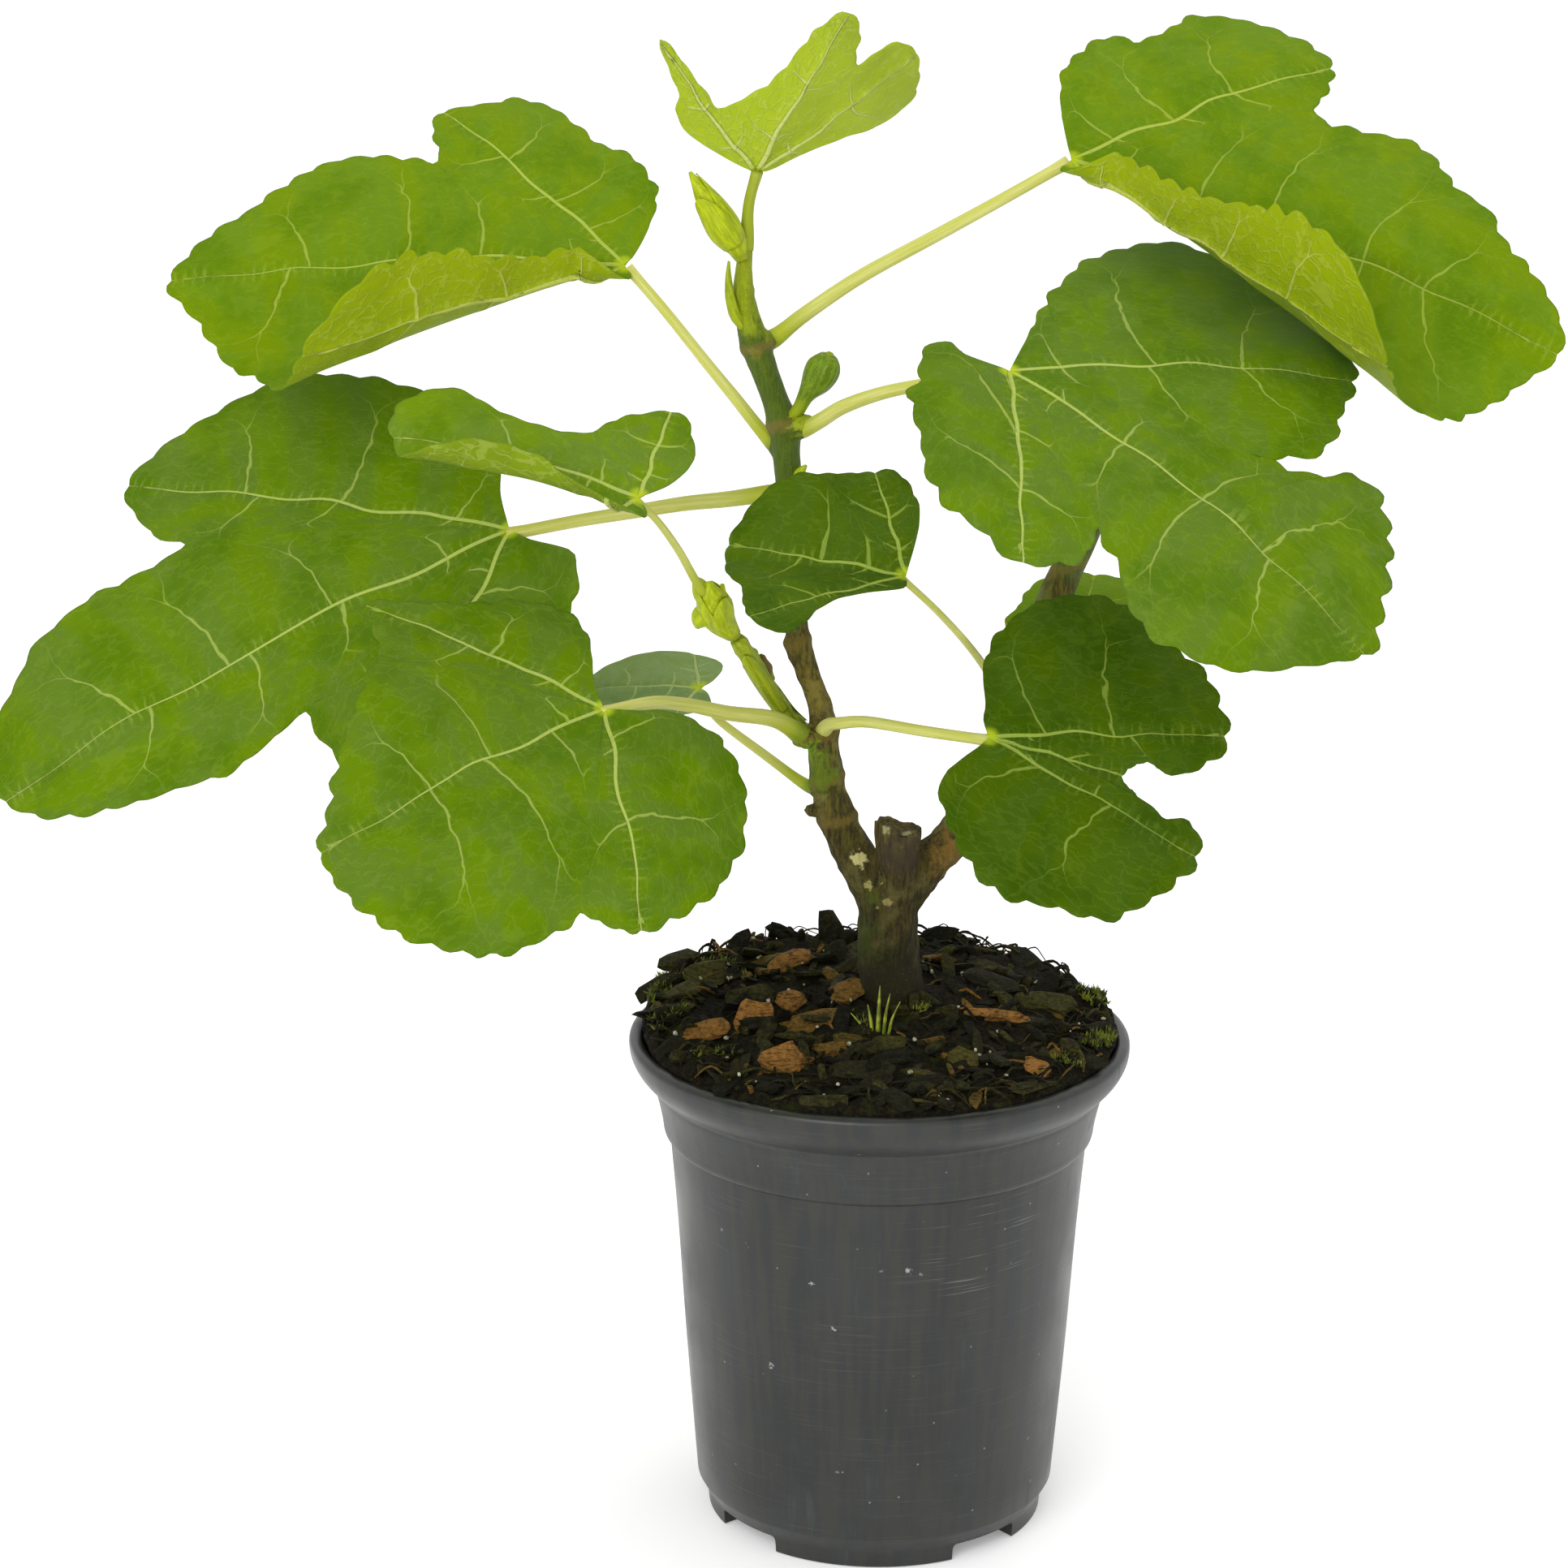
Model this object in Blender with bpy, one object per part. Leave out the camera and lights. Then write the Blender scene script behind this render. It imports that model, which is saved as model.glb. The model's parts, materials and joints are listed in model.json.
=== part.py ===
"""A potted fig: a dark nursery pot of bark mix, in which a young fig plant with eleven leaves stands.

Run with: blender --background --python part.py

Sizes below are in millimetres and angles in degrees, and the meshes are made in metres. Places are
measured from the pot's axis at the level that its feet stand on, with +Z up and the plant's best side
facing -Y. Each finished shape is then moved so that the origin lies under the middle of the whole plant.
"""

import math
import random
from dataclasses import dataclass

import bmesh
import bpy
from mathutils import Matrix, Vector, noise

MM = 0.001
GAP = 0.3
PLANT_MIDDLE = (-29.1, -24.1)

# Pot: outside and inside as (radius, height), both from the lip down
POT_SIDES = 48
POT_OUTSIDE = [
    (63.6, 131), (64.7, 130.3), (65, 129), (64.6, 126.4), (63.2, 123.6), (61, 121), (58.9, 119),
    (58.5, 117.5), (57.4, 113.5), (56.4, 108.7), (55.9, 105.6), (54.4, 104.2), (52.3, 79),
    (50.2, 47), (47.2, 9), (45.3, 5.6), (44.6, 4), (44.2, 0),
]
POT_INSIDE = [
    (62.2, 131), (61.3, 130.2), (60.6, 128.3), (59.2, 124.5), (57.6, 120.5), (57, 117.5), (55.9, 113.5),
    (54.9, 108.7), (54.2, 106), (52.9, 103.6), (48.7, 47), (45.7, 10), (45, 7.5),
]
FLOOR_TOP = 7.5
FLOOR_BOTTOM = 5.5
FOOT_INSIDE = 39.4
FOOT_COUNT = 4
FOOT_GAP_WIDTH = 21
FOOT_GAP_HEIGHT = 4.4
FOOT_GAP_MIDDLE = 43
FOOT_GAP_DEPTH = 14
FOOT_TURN = 40
DRAIN_COUNT = 6
DRAIN_RADIUS = 4
DRAIN_CIRCLE = 28

# Potting mix
MIX_SIDES = 40
MIX_RINGS = [7, 15, 23, 31, 38, 45, 51, 56, 60.2]
MIX_FRONT = 132.6
MIX_RISE = 8
MIX_MOUND = 5.5
MIX_MOUND_REACH = 30
MIX_LEAN = 1.5
MIX_REACH = 50
MIX_LUMP = 2
MIX_SHOULDER = 4
CHIP_COUNT = 40
CHIP_SIZE = ((8, 15), (5, 8), (2.6, 3.6))
CHIP_REACH = 51
CHIP_LIFT = 0.7
CHIP_TILT = 20
TRUNK_CLEARANCE = 0.5
HOLE_TOP = 170

# Woody stem: (x, y, z, radius) along each run
TRUNK = [(3, 0, 124, 8.2), (3, 0, 143, 8.2), (2, 0, 151, 7.7), (2, 0, 161, 8), (1, 0, 171, 7)]
MAIN_SHOOT = [
    (2, 0, 162, 6.2), (-5, 0, 176, 5.4), (-9, 1, 183, 5), (-12, 1, 190, 4.8), (-14, 1, 199, 4.4),
    (-15, 1, 206, 4.3), (-15, 1, 213, 3.7), (-17, 2, 221, 2.9), (-20, 2, 229, 3), (-21.6, 2, 234, 3.7),
    (-22, 3, 239, 3), (-23, 3, 254, 3.1), (-24, 3, 271, 3.3), (-25, 4, 284, 3.6), (-25.5, 4, 290, 4.3),
    (-27.5, 4, 296, 3.4), (-30, 4, 303, 3.4), (-32.6, 5, 310, 3.9), (-34.6, 5, 317, 3.2),
    (-35.8, 5, 324, 2.7), (-35.6, 6, 331, 2.1), (-35.2, 6, 336, 1.8),
]
SAWN_STUB = [(2, 0, 158, 5.6), (4, -2, 174, 5.6), (4, -4, 182, 5.3), (4, -4, 189, 5.6)]
SECOND_SHOOT = [
    (3, 0, 163, 5.4), (11, 2, 175, 5.4), (18, 4, 182, 5.2), (24, 5, 191, 4.6), (29, 6, 200, 4.3),
    (36, 8, 215, 4.3), (40, 10, 233, 4.4), (45, 12, 248, 4.3), (53, 14, 264, 3.2), (56, 15, 271, 1),
]
TWIG_STUB = [(-11, 1, 190, 2), (-16, -1, 191, 1.7), (-19, -3, 192, 1.5)]

# Green shoots, buds and the young fig
SIDE_SHOOT = [(-17, 3, 209, 2.6), (-21, 3, 212, 2.5), (-25, 1, 217, 2.2), (-29, -4, 224, 2.2),
              (-34, -14, 235, 2.4), (-37, -19, 241, 2)]
SIDE_BUD = [(-37.1, -19.2, 241.3, 1.6), (-39, -22, 245, 4), (-41, -26, 251, 4.2), (-43, -29, 257, 1.6),
            (-44, -30, 260, 0.5)]
YOUNG_FIG = [(-25, 4, 290, 1.4), (-22, 1, 295, 1.3), (-20, 0, 299, 1.9), (-17.4, -1, 303, 3.9),
             (-15.6, -2, 306.5, 4.2), (-14.4, -2, 309.4, 1.2)]
CROWN_BUD = [(-36, 5, 331, 1.4), (-37, 4, 335, 1.6), (-40, 3, 339.5, 3.8), (-43.6, 2, 344, 3.6),
             (-47, 2, 349, 2), (-49, 2, 354, 0.4)]
STIPULE = [(-34, 5, 313, 1.2), (-38, 2.4, 319, 1.5), (-39.4, 2, 326, 1), (-39.4, 2, 332, 0.3)]
AXIL_BUD = [(-24, 3, 276, 1.4), (-21.6, 1, 279, 1.3), (-20, 0, 281, 0.4)]

# Leaf blades
BLADE_THICKNESS = 0.7
TOOTH_SPACING = 8
FEWEST_TEETH = 3
ROOT_SHARE = 0.75
ROOT_POWER = 1.2
CELLS = 5
EDGE, TIP, SINUS = "edge", "tip", "sinus"
CURLED = 60
LEAST_CONE = 0.3
STALK_UNDER = 1.5
STALK_SHORT = -1


@dataclass
class Leaf:
    """A leaf blade: where its stalk meets it, how it is held, how it bends, and its outline laid flat.

    Each side has (fold at the midrib, turn further out, distance over which it turns). On a curled
    side that distance grows along the midrib like a cone, and is as given at the cone distance.
    The outline runs clockwise from the stalk round to the stalk again, as (kind, direction, distance)
    from the stalk with 0 along the midrib and + to its left. A tip is where a main vein ends.
    """

    name: str
    joint: tuple
    azimuth: float
    pitch: float
    roll: float
    length: float
    droop: float
    left: tuple
    right: tuple
    outline: list
    stalk: list
    stalk_widths: tuple
    colour: tuple
    cone: float = 0
    ripple: float = 0.8
    tooth: float = 1.2
    rings: int = 2
    carrier: str = "stem"


def edges(*pairs):
    return [(EDGE, direction, distance) for direction, distance in pairs]


LEAVES = [
    Leaf(
        name="crown", joint=(-33, 5, 354), azimuth=-50, pitch=49, roll=-25, length=50, droop=0,
        left=(14, 20, 40), right=(4, 10, 40), ripple=0.4, tooth=0.7,
        outline=[
            *edges((84, 4), (60, 12), (60, 23), (65, 34), (60, 43), (48, 46)), (TIP, 34, 49),
            *edges((22, 48)), (SINUS, 17, 39), *edges((10, 43), (6, 49)), (TIP, -1, 55),
            *edges((-5, 50), (-9, 41), (-16, 29)), (SINUS, -33, 23),
            *edges((-49, 22), (-51, 30), (-52, 40)), (TIP, -54, 47),
            *edges((-58, 37), (-62, 30), (-70, 27), (-78, 20), (-82, 11), (-92, 3)),
        ],
        stalk=[(-35, 6, 334), (-34.6, 6, 345)], stalk_widths=(3, 2.6), colour=(0.42, 0.50, 0.07),
    ),
    Leaf(
        name="upper_left", joint=(-66, 20, 328), azimuth=-176, pitch=2, roll=-38, length=113, droop=16,
        left=(-40, 195, 42), right=(4, -18, 60), cone=38, rings=4,
        outline=[
            *edges((120, 4), (90, 7), (66, 12), (52, 20), (46, 30), (45, 42), (46, 54), (46, 66), (45, 76),
                   (42, 86)),
            (TIP, 35, 93), (SINUS, 24, 94), *edges((16, 97), (12, 103), (5, 108), (1, 113)),
            (TIP, -2, 115), *edges((-8, 108), (-14, 99), (-20, 93), (-26, 88), (-31, 81), (-34, 71)),
            (SINUS, -37, 61), *edges((-41, 62), (-46, 70)), (TIP, -51, 74),
            *edges((-60, 70), (-67, 68), (-73, 62), (-77, 52), (-82, 43), (-90, 40), (-99, 33),
                   (-109, 24), (-117, 14), (-130, 4)),
        ],
        stalk=[(-26, 4, 283), (-32, 8, 289), (-38, 11, 296), (-45, 14, 304), (-56, 18, 317)],
        stalk_widths=(3.4, 2.6), colour=(0.26, 0.37, 0.02),
    ),
    Leaf(
        name="upper_right", joint=(46, 20, 355), azimuth=-16, pitch=-12, roll=36, length=131, droop=12,
        left=(4, -18, 60), right=(-40, 195, 42), cone=38, rings=4,
        outline=[
            *edges((122, 5), (117, 18), (111, 30), (103, 39), (95, 47), (87, 48), (82, 57), (79, 68),
                   (72, 74), (64, 77), (56, 80)),
            (TIP, 50, 79), *edges((44, 72)), (SINUS, 39, 66),
            *edges((34, 67), (31, 76), (29, 85), (25, 92), (19, 95), (15, 103), (9, 109), (5, 118),
                   (1, 126)),
            (TIP, -3, 130), *edges((-8, 125), (-14, 120), (-20, 115)), (SINUS, -26, 110), (TIP, -34, 110),
            *edges((-40, 107), (-44, 98), (-45, 84), (-45, 70), (-44, 56), (-44, 44), (-46, 32),
                   (-52, 21), (-66, 12), (-90, 7), (-120, 4)),
        ],
        stalk=[(-32, 5, 311), (-28, 7, 312), (-20, 9, 318), (-6, 12, 327), (13, 15, 337), (30, 18, 346)],
        stalk_widths=(4.2, 3), colour=(0.24, 0.36, 0.02),
    ),
    Leaf(
        name="left", joint=(-94, -4, 265), azimuth=-170, pitch=-16, roll=-38, length=138, droop=20,
        left=(-4, -16, 70), right=(6, -16, 70),
        outline=[
            *edges((132, 6), (138, 17), (122, 22), (108, 27), (96, 33), (84, 45), (70, 60), (60, 68)),
            (TIP, 50, 74), *edges((40, 74), (31, 71)), (SINUS, 24, 69),
            *edges((23, 80), (22, 90), (20, 98), (17, 108), (14, 120), (10, 134)), (TIP, 5, 145),
            *edges((-2, 141), (-8, 131), (-12, 122), (-15, 111), (-17, 98)), (SINUS, -22, 85),
            *edges((-26, 97)), (TIP, -34, 108), *edges((-43, 101), (-51, 92), (-60, 84), (-68, 70),
                                                     (-76, 57), (-88, 40), (-98, 23), (-94, 11)),
        ],
        stalk=[(-24, 3, 273), (-31, 2, 273), (-40, 1, 272), (-51, 0, 271), (-64, -1, 269),
               (-77, -2, 267)],
        stalk_widths=(4.4, 3.2), colour=(0.14, 0.25, 0.012),
    ),
    Leaf(
        name="folded_left", joint=(-60, -50, 284), azimuth=178, pitch=21, roll=-30, length=60, droop=22,
        left=(-20, 165, 21), right=(10, -10, 40), tooth=0.8, rings=3,
        outline=[
            *edges((128, 5), (104, 9), (80, 11)), (TIP, 60, 14), *edges((48, 18)), (SINUS, 40, 24),
            *edges((33, 34), (24, 45), (13, 55)), (TIP, 0, 61),
            *edges((-9, 63), (-18, 57), (-20, 49), (-19, 40), (-22, 31), (-28, 25)),
            (SINUS, -42, 21), *edges((-62, 23), (-78, 26)), (TIP, -90, 29),
            *edges((-100, 27), (-110, 22), (-120, 18), (-130, 9)),
        ],
        stalk=[(-43, -28, 252), (-47, -31, 259), (-51, -37, 268), (-56, -44, 277)],
        stalk_widths=(2.2, 1.8), colour=(0.20, 0.30, 0.03), carrier="side_bud",
    ),
    Leaf(
        name="lower_left", joint=(-69, -45, 230), azimuth=-150, pitch=-8, roll=-38, length=80, droop=22,
        left=(6, -20, 60), right=(6, -16, 60),
        outline=[
            *edges((157, 8), (158, 17), (146, 26), (133, 34), (119, 42), (107, 48), (96, 54), (85, 58)),
            (TIP, 72, 62), *edges((64, 60)), (SINUS, 58, 58), *edges((51, 66), (43, 73), (32, 78), (22, 80),
                                                                  (12, 80)),
            (TIP, 5, 79), *edges((-3, 71), (-12, 65), (-22, 60)), (SINUS, -37, 56),
            *edges((-45, 58)), (TIP, -52, 65), *edges((-58, 54), (-66, 43), (-78, 37), (-91, 32),
                                                    (-101, 27), (-105, 17), (-98, 8)),
        ],
        stalk=[(-19, -1, 210), (-24, -6, 215), (-29, -11, 218.6), (-39, -19, 222), (-49, -26, 226),
               (-58, -35, 229)],
        stalk_widths=(4.6, 3.2), colour=(0.14, 0.26, 0.015),
    ),
    Leaf(
        name="centre", joint=(4, -42, 263), azimuth=176, pitch=6, roll=-44, length=45, droop=8,
        left=(30, -10, 40), right=(4, -20, 40), tooth=0.8, rings=3,
        outline=[
            *edges((96, 5), (70, 8), (50, 13), (43, 21), (47, 30), (51, 37)), (TIP, 47, 41),
            *edges((36, 42), (27, 41)), (SINUS, 18, 40), *edges((8, 43)), (TIP, -6, 44),
            *edges((-18, 43), (-30, 42), (-40, 40)), (SINUS, -48, 37), *edges((-58, 34)), (TIP, -70, 32),
            *edges((-79, 31), (-87, 25), (-95, 17), (-98, 9)),
        ],
        stalk=[(36, 8, 215), (28, -1, 226), (23, -11, 235), (18, -20, 243), (11, -32, 253)],
        stalk_widths=(2.2, 1.7), colour=(0.09, 0.16, 0.008),
    ),
    Leaf(
        name="right", joint=(28, -45, 314), azimuth=-40, pitch=-17, roll=16, length=115, droop=24,
        left=(4, -14, 60), right=(4, -16, 60),
        outline=[
            *edges((113, 28), (111, 55), (102, 80), (91, 85), (80, 89), (68, 94), (60, 90)),
            (TIP, 52, 86), *edges((39, 79), (31, 76), (25, 68)), (SINUS, 21, 61),
            *edges((21, 70), (24, 80), (27, 88), (21, 96), (12, 102), (4, 109)), (TIP, -1, 113),
            *edges((-9, 109), (-18, 104), (-24, 95), (-28, 84), (-27, 70)), (SINUS, -28, 58),
            *edges((-33, 65), (-40, 68)), (TIP, -46, 68),
            *edges((-55, 60), (-64, 53), (-75, 43), (-88, 33), (-106, 27), (-120, 22), (-140, 21),
                   (-162, 21), (-178, 19), (-168, 12)),
        ],
        stalk=[(-26, 4, 289), (-21, 1, 290), (-17, -4, 293), (-11, -10, 298), (-2, -18, 303),
               (8, -27, 307), (18, -36, 310)],
        stalk_widths=(3.4, 2.8), colour=(0.15, 0.25, 0.012),
    ),
    Leaf(
        name="lower_right", joint=(25, -40, 222), azimuth=-3, pitch=-14, roll=44, length=50, droop=6,
        left=(6, -20, 60), right=(6, -16, 60),
        outline=[
            *edges((118, 5), (107, 9), (105, 19), (95, 30), (86, 39), (76, 47), (66, 53), (55, 56),
                   (44, 57), (34, 60), (26, 60)),
            (TIP, 18, 60), *edges((12, 56), (6, 48)), (SINUS, 8, 40), (TIP, 0, 34), (SINUS, -7, 39),
            *edges((-11, 47), (-9, 54)), (TIP, -17, 58),
            *edges((-27, 57), (-37, 56), (-47, 54), (-57, 48), (-67, 45), (-78, 41), (-88, 34),
                   (-98, 28), (-110, 22), (-121, 17), (-123, 10), (-119, 4)),
        ],
        stalk=[(-16, 0, 211), (-14, -5, 215), (-11, -10, 217), (-4, -16, 219), (10, -28, 220)],
        stalk_widths=(3.4, 2.8), colour=(0.075, 0.145, 0.006),
    ),
    Leaf(
        name="back_left", joint=(-47, 16, 219), azimuth=172, pitch=2, roll=-14, length=31, droop=14,
        left=(4, -10, 30), right=(8, -14, 30), tooth=0.6,
        outline=[
            *edges((128, 5), (110, 12)), (TIP, 76, 16), *edges((58, 19)), (SINUS, 46, 22),
            *edges((32, 26), (18, 29)), (TIP, 0, 31), *edges((-18, 29), (-32, 26)), (SINUS, -46, 22),
            *edges((-58, 19)), (TIP, -76, 16), *edges((-110, 12), (-128, 5)),
        ],
        stalk=[(-16, 3, 195), (-21, 6, 197), (-30, 9, 203), (-39, 12, 209), (-43, 14, 212)],
        stalk_widths=(2.8, 2), colour=(0.10, 0.16, 0.05),
    ),
    Leaf(
        name="back_right", joint=(51, 25, 228), azimuth=80, pitch=25, roll=0, length=36, droop=16,
        left=(10, -20, 30), right=(10, -20, 30), tooth=0.7,
        outline=[
            *edges((120, 5), (108, 13)), (TIP, 72, 21), *edges((56, 22)), (SINUS, 45, 24),
            *edges((32, 29), (16, 34)), (TIP, 0, 37), *edges((-16, 34), (-32, 29)), (SINUS, -45, 24),
            *edges((-56, 22)), (TIP, -72, 21), *edges((-108, 13), (-120, 5)),
        ],
        stalk=[(41, 10, 236), (45, 15, 231), (49, 21, 226.6)],
        stalk_widths=(2.4, 2), colour=(0.20, 0.30, 0.04),
    ),
]


def smooth_step(value):
    value = min(max(value, 0), 1)
    return value * value * (3 - 2 * value)


def clear_scene():
    for obj in list(bpy.data.objects):
        bpy.data.objects.remove(obj)


def make_material(name, colour, roughness):
    material = bpy.data.materials.new(name)
    material.use_nodes = True
    shader = material.node_tree.nodes["Principled BSDF"]
    shader.inputs["Base Color"].default_value = (*colour, 1)
    shader.inputs["Roughness"].default_value = roughness
    shader.inputs["Metallic"].default_value = 0
    return material


def make_object(name, bm, material=None, smooth=True):
    """An object from a bmesh in millimetres from the pot's axis."""
    bmesh.ops.translate(bm, vec=(-PLANT_MIDDLE[0], -PLANT_MIDDLE[1], 0), verts=bm.verts)
    bmesh.ops.scale(bm, vec=(MM, MM, MM), verts=bm.verts)
    mesh = bpy.data.meshes.new(name)
    bm.to_mesh(mesh)
    bm.free()
    if smooth:
        mesh.shade_smooth()
    if material:
        mesh.materials.append(material)
    obj = bpy.data.objects.new(name, mesh)
    bpy.context.scene.collection.objects.link(obj)
    return obj


def as_guide(obj):
    obj.hide_render = True
    obj.display_type = "WIRE"
    return obj


def bake(obj):
    """Applies the object's modifiers."""
    bpy.context.view_layer.update()
    graph = bpy.context.evaluated_depsgraph_get()
    mesh = bpy.data.meshes.new_from_object(obj.evaluated_get(graph))
    obj.modifiers.clear()
    obj.data = mesh


def add_boolean(obj, operation, cutter):
    modifier = obj.modifiers.new(operation.title(), "BOOLEAN")
    modifier.operation = operation
    modifier.object = cutter
    return modifier


def unite(obj, others, solver="EXACT"):
    """Joins closed shapes into the object as one body and removes them."""
    group = bpy.data.collections.new("joined")
    for other in others:
        group.objects.link(other)
    modifier = obj.modifiers.new("Union", "BOOLEAN")
    modifier.operation = "UNION"
    modifier.operand_type = "COLLECTION"
    modifier.collection = group
    modifier.solver = solver
    bake(obj)
    for other in others:
        bpy.data.objects.remove(other)
    bpy.data.collections.remove(group)


def spun(profile, sides):
    """A closed shape turned round Z from (radius, height) points that start and end on the axis."""
    bm = bmesh.new()
    ring = [bm.verts.new((radius, 0, height)) for radius, height in profile]
    lines = [bm.edges.new(pair) for pair in zip(ring, ring[1:])]
    bmesh.ops.spin(bm, geom=ring + lines, cent=(0, 0, 0), axis=(0, 0, 1), angle=2 * math.pi,
                   steps=sides, use_merge=True)
    bmesh.ops.remove_doubles(bm, verts=bm.verts, dist=0.001)
    bmesh.ops.recalc_face_normals(bm, faces=bm.faces)
    return bm


def cylinder(radius, bottom, top, sides=16, at=(0, 0)):
    bm = bmesh.new()
    bmesh.ops.create_cone(bm, cap_ends=True, segments=sides, radius1=radius, radius2=radius,
                          depth=top - bottom,
                          matrix=Matrix.Translation((at[0], at[1], (top + bottom) / 2)))
    return bm


def spline(knots, steps):
    """A smooth line through knots of any dimension, with the given number of steps between knots."""
    points = []
    last = len(knots) - 1
    for i in range(last):
        around = [Vector(knots[max(0, min(last, i + k))]) for k in (-1, 0, 1, 2)]
        before, start, end, after = around
        for step in range(steps):
            t = step / steps
            points.append(
                0.5 * (2 * start + (end - before) * t
                       + (2 * before - 5 * start + 4 * end - after) * t ** 2
                       + (3 * start - before - 3 * end + after) * t ** 3)
            )
    points.append(Vector(knots[-1]))
    return points


def tube(name, knots, material=None, steps=2, resolution=1, extra=0):
    """A closed tube through (x, y, z, radius) knots, thicker all round by the extra radius."""
    points = spline(knots, steps)
    curve = bpy.data.curves.new(name, "CURVE")
    curve.dimensions = "3D"
    curve.bevel_depth = MM
    curve.bevel_resolution = resolution
    curve.use_fill_caps = True
    line = curve.splines.new("POLY")
    line.points.add(len(points) - 1)
    for place, point in zip(line.points, points):
        place.co = (point[0] * MM, point[1] * MM, point[2] * MM, 1)
        place.radius = point[3] + extra
    guide = bpy.data.objects.new(name + "_route", curve)
    bpy.context.scene.collection.objects.link(guide)
    bpy.context.view_layer.update()
    mesh = bpy.data.meshes.new_from_object(guide)
    bpy.data.objects.remove(guide)
    bm = bmesh.new()
    bm.from_mesh(mesh)
    bpy.data.meshes.remove(mesh)
    bmesh.ops.scale(bm, vec=(1 / MM, 1 / MM, 1 / MM), verts=bm.verts)
    bmesh.ops.remove_doubles(bm, verts=bm.verts, dist=0.001)
    bmesh.ops.recalc_face_normals(bm, faces=bm.faces)
    return make_object(name, bm, material)


# Pot and potting mix

def build_pot():
    """The pot, with gaps between its feet and drain holes in its raised floor."""
    floor = [(FOOT_INSIDE, 0), (FOOT_INSIDE, FLOOR_BOTTOM), (0, FLOOR_BOTTOM)]
    profile = [(0, FLOOR_TOP), *reversed(POT_INSIDE), *POT_OUTSIDE, *floor]
    plastic = make_material("dark_plastic", (0.065, 0.068, 0.066), 0.42)
    pot = make_object("pot", spun(profile, POT_SIDES), plastic)
    pot.data.set_sharp_from_angle(angle=math.radians(40))
    cutters = bmesh.new()
    for i in range(FOOT_COUNT):
        turn = Matrix.Rotation(math.radians(FOOT_TURN + 360 / FOOT_COUNT * i), 4, "Z")
        place = Matrix.Translation((FOOT_GAP_MIDDLE, 0, 0))
        size = Matrix.Diagonal((FOOT_GAP_DEPTH, FOOT_GAP_WIDTH, 2 * FOOT_GAP_HEIGHT, 1))
        bmesh.ops.create_cube(cutters, size=1, matrix=turn @ place @ size)
    for i in range(DRAIN_COUNT):
        turn = Matrix.Rotation(math.radians(360 / DRAIN_COUNT * i), 4, "Z")
        bmesh.ops.create_cone(cutters, cap_ends=True, segments=12, radius1=DRAIN_RADIUS,
                              radius2=DRAIN_RADIUS, depth=2 * FLOOR_BOTTOM,
                              matrix=turn @ Matrix.Translation((DRAIN_CIRCLE, 0, FLOOR_BOTTOM)))
    cutter = as_guide(make_object("pot_cutters", cutters))
    add_boolean(pot, "DIFFERENCE", cutter)
    return pot


def mix_height(x, y):
    """Height of the potting mix: higher at the back and round the trunk, with lumps."""
    back = min(max((y + MIX_REACH) / (2 * MIX_REACH), 0), 1)
    mound = MIX_MOUND * math.exp(-((x - TRUNK[0][0]) ** 2 + y ** 2) / MIX_MOUND_REACH ** 2)
    left = MIX_LEAN * min(max(-x / MIX_REACH, -1), 1)
    lump = MIX_LUMP * noise.noise(Vector((x / 9, y / 9, 4)))
    shoulder = MIX_SHOULDER * back * smooth_step((math.hypot(x, y) - MIX_REACH) / 10)
    return MIX_FRONT + MIX_RISE * smooth_step(back) + mound + left * back + lump - shoulder


def make_chip(draw):
    """A bark chip that lies part sunk in the mix."""
    reach = CHIP_REACH * math.sqrt(draw.uniform(0.09, 1))
    angle = draw.uniform(0, 2 * math.pi)
    x, y = reach * math.cos(angle), reach * math.sin(angle)
    size = [draw.uniform(*limits) for limits in CHIP_SIZE]
    place = (
        Matrix.Translation((x, y, mix_height(x, y) + CHIP_LIFT))
        @ Matrix.Rotation(draw.uniform(0, math.pi), 4, "Z")
        @ Matrix.Rotation(math.radians(draw.uniform(-CHIP_TILT, CHIP_TILT)), 4, "X")
        @ Matrix.Rotation(math.radians(draw.uniform(-CHIP_TILT, CHIP_TILT)), 4, "Y")
        @ Matrix.Diagonal((*size, 1))
    )
    bm = bmesh.new()
    bmesh.ops.create_cone(bm, cap_ends=True, segments=5, radius1=0.6, radius2=0.5, depth=1, matrix=place)
    return make_object("chip", bm)


def build_mix():
    """The potting mix, with bark chips grown into its top and a hole that the trunk stands in."""
    top = [(0, MIX_FRONT)] + [(radius, MIX_FRONT) for radius in MIX_RINGS]
    sides = [(radius - GAP, height) for radius, height in POT_INSIDE[2:]]
    profile = [*top, *sides[:-1], (sides[-1][0], FLOOR_TOP + GAP), (0, FLOOR_TOP + GAP)]
    bm = spun(profile, MIX_SIDES)
    for vert in bm.verts:
        if abs(vert.co.z - MIX_FRONT) < 0.01:
            vert.co.z = mix_height(vert.co.x, vert.co.y)
    bark_mix = make_material("bark_mix", (0.022, 0.017, 0.010), 0.95)
    mix = make_object("potting_mix", bm, bark_mix, smooth=False)
    draw = random.Random(7)
    unite(mix, [make_chip(draw) for _ in range(CHIP_COUNT)], solver="MANIFOLD")
    x, y, bottom, radius = TRUNK[0]
    bore = cylinder(radius + TRUNK_CLEARANCE, bottom - GAP, HOLE_TOP, sides=20, at=(x, y))
    add_boolean(mix, "DIFFERENCE", as_guide(make_object("trunk_hole", bore))).solver = "MANIFOLD"
    return mix


# Stem, shoots, buds and stalks

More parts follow.
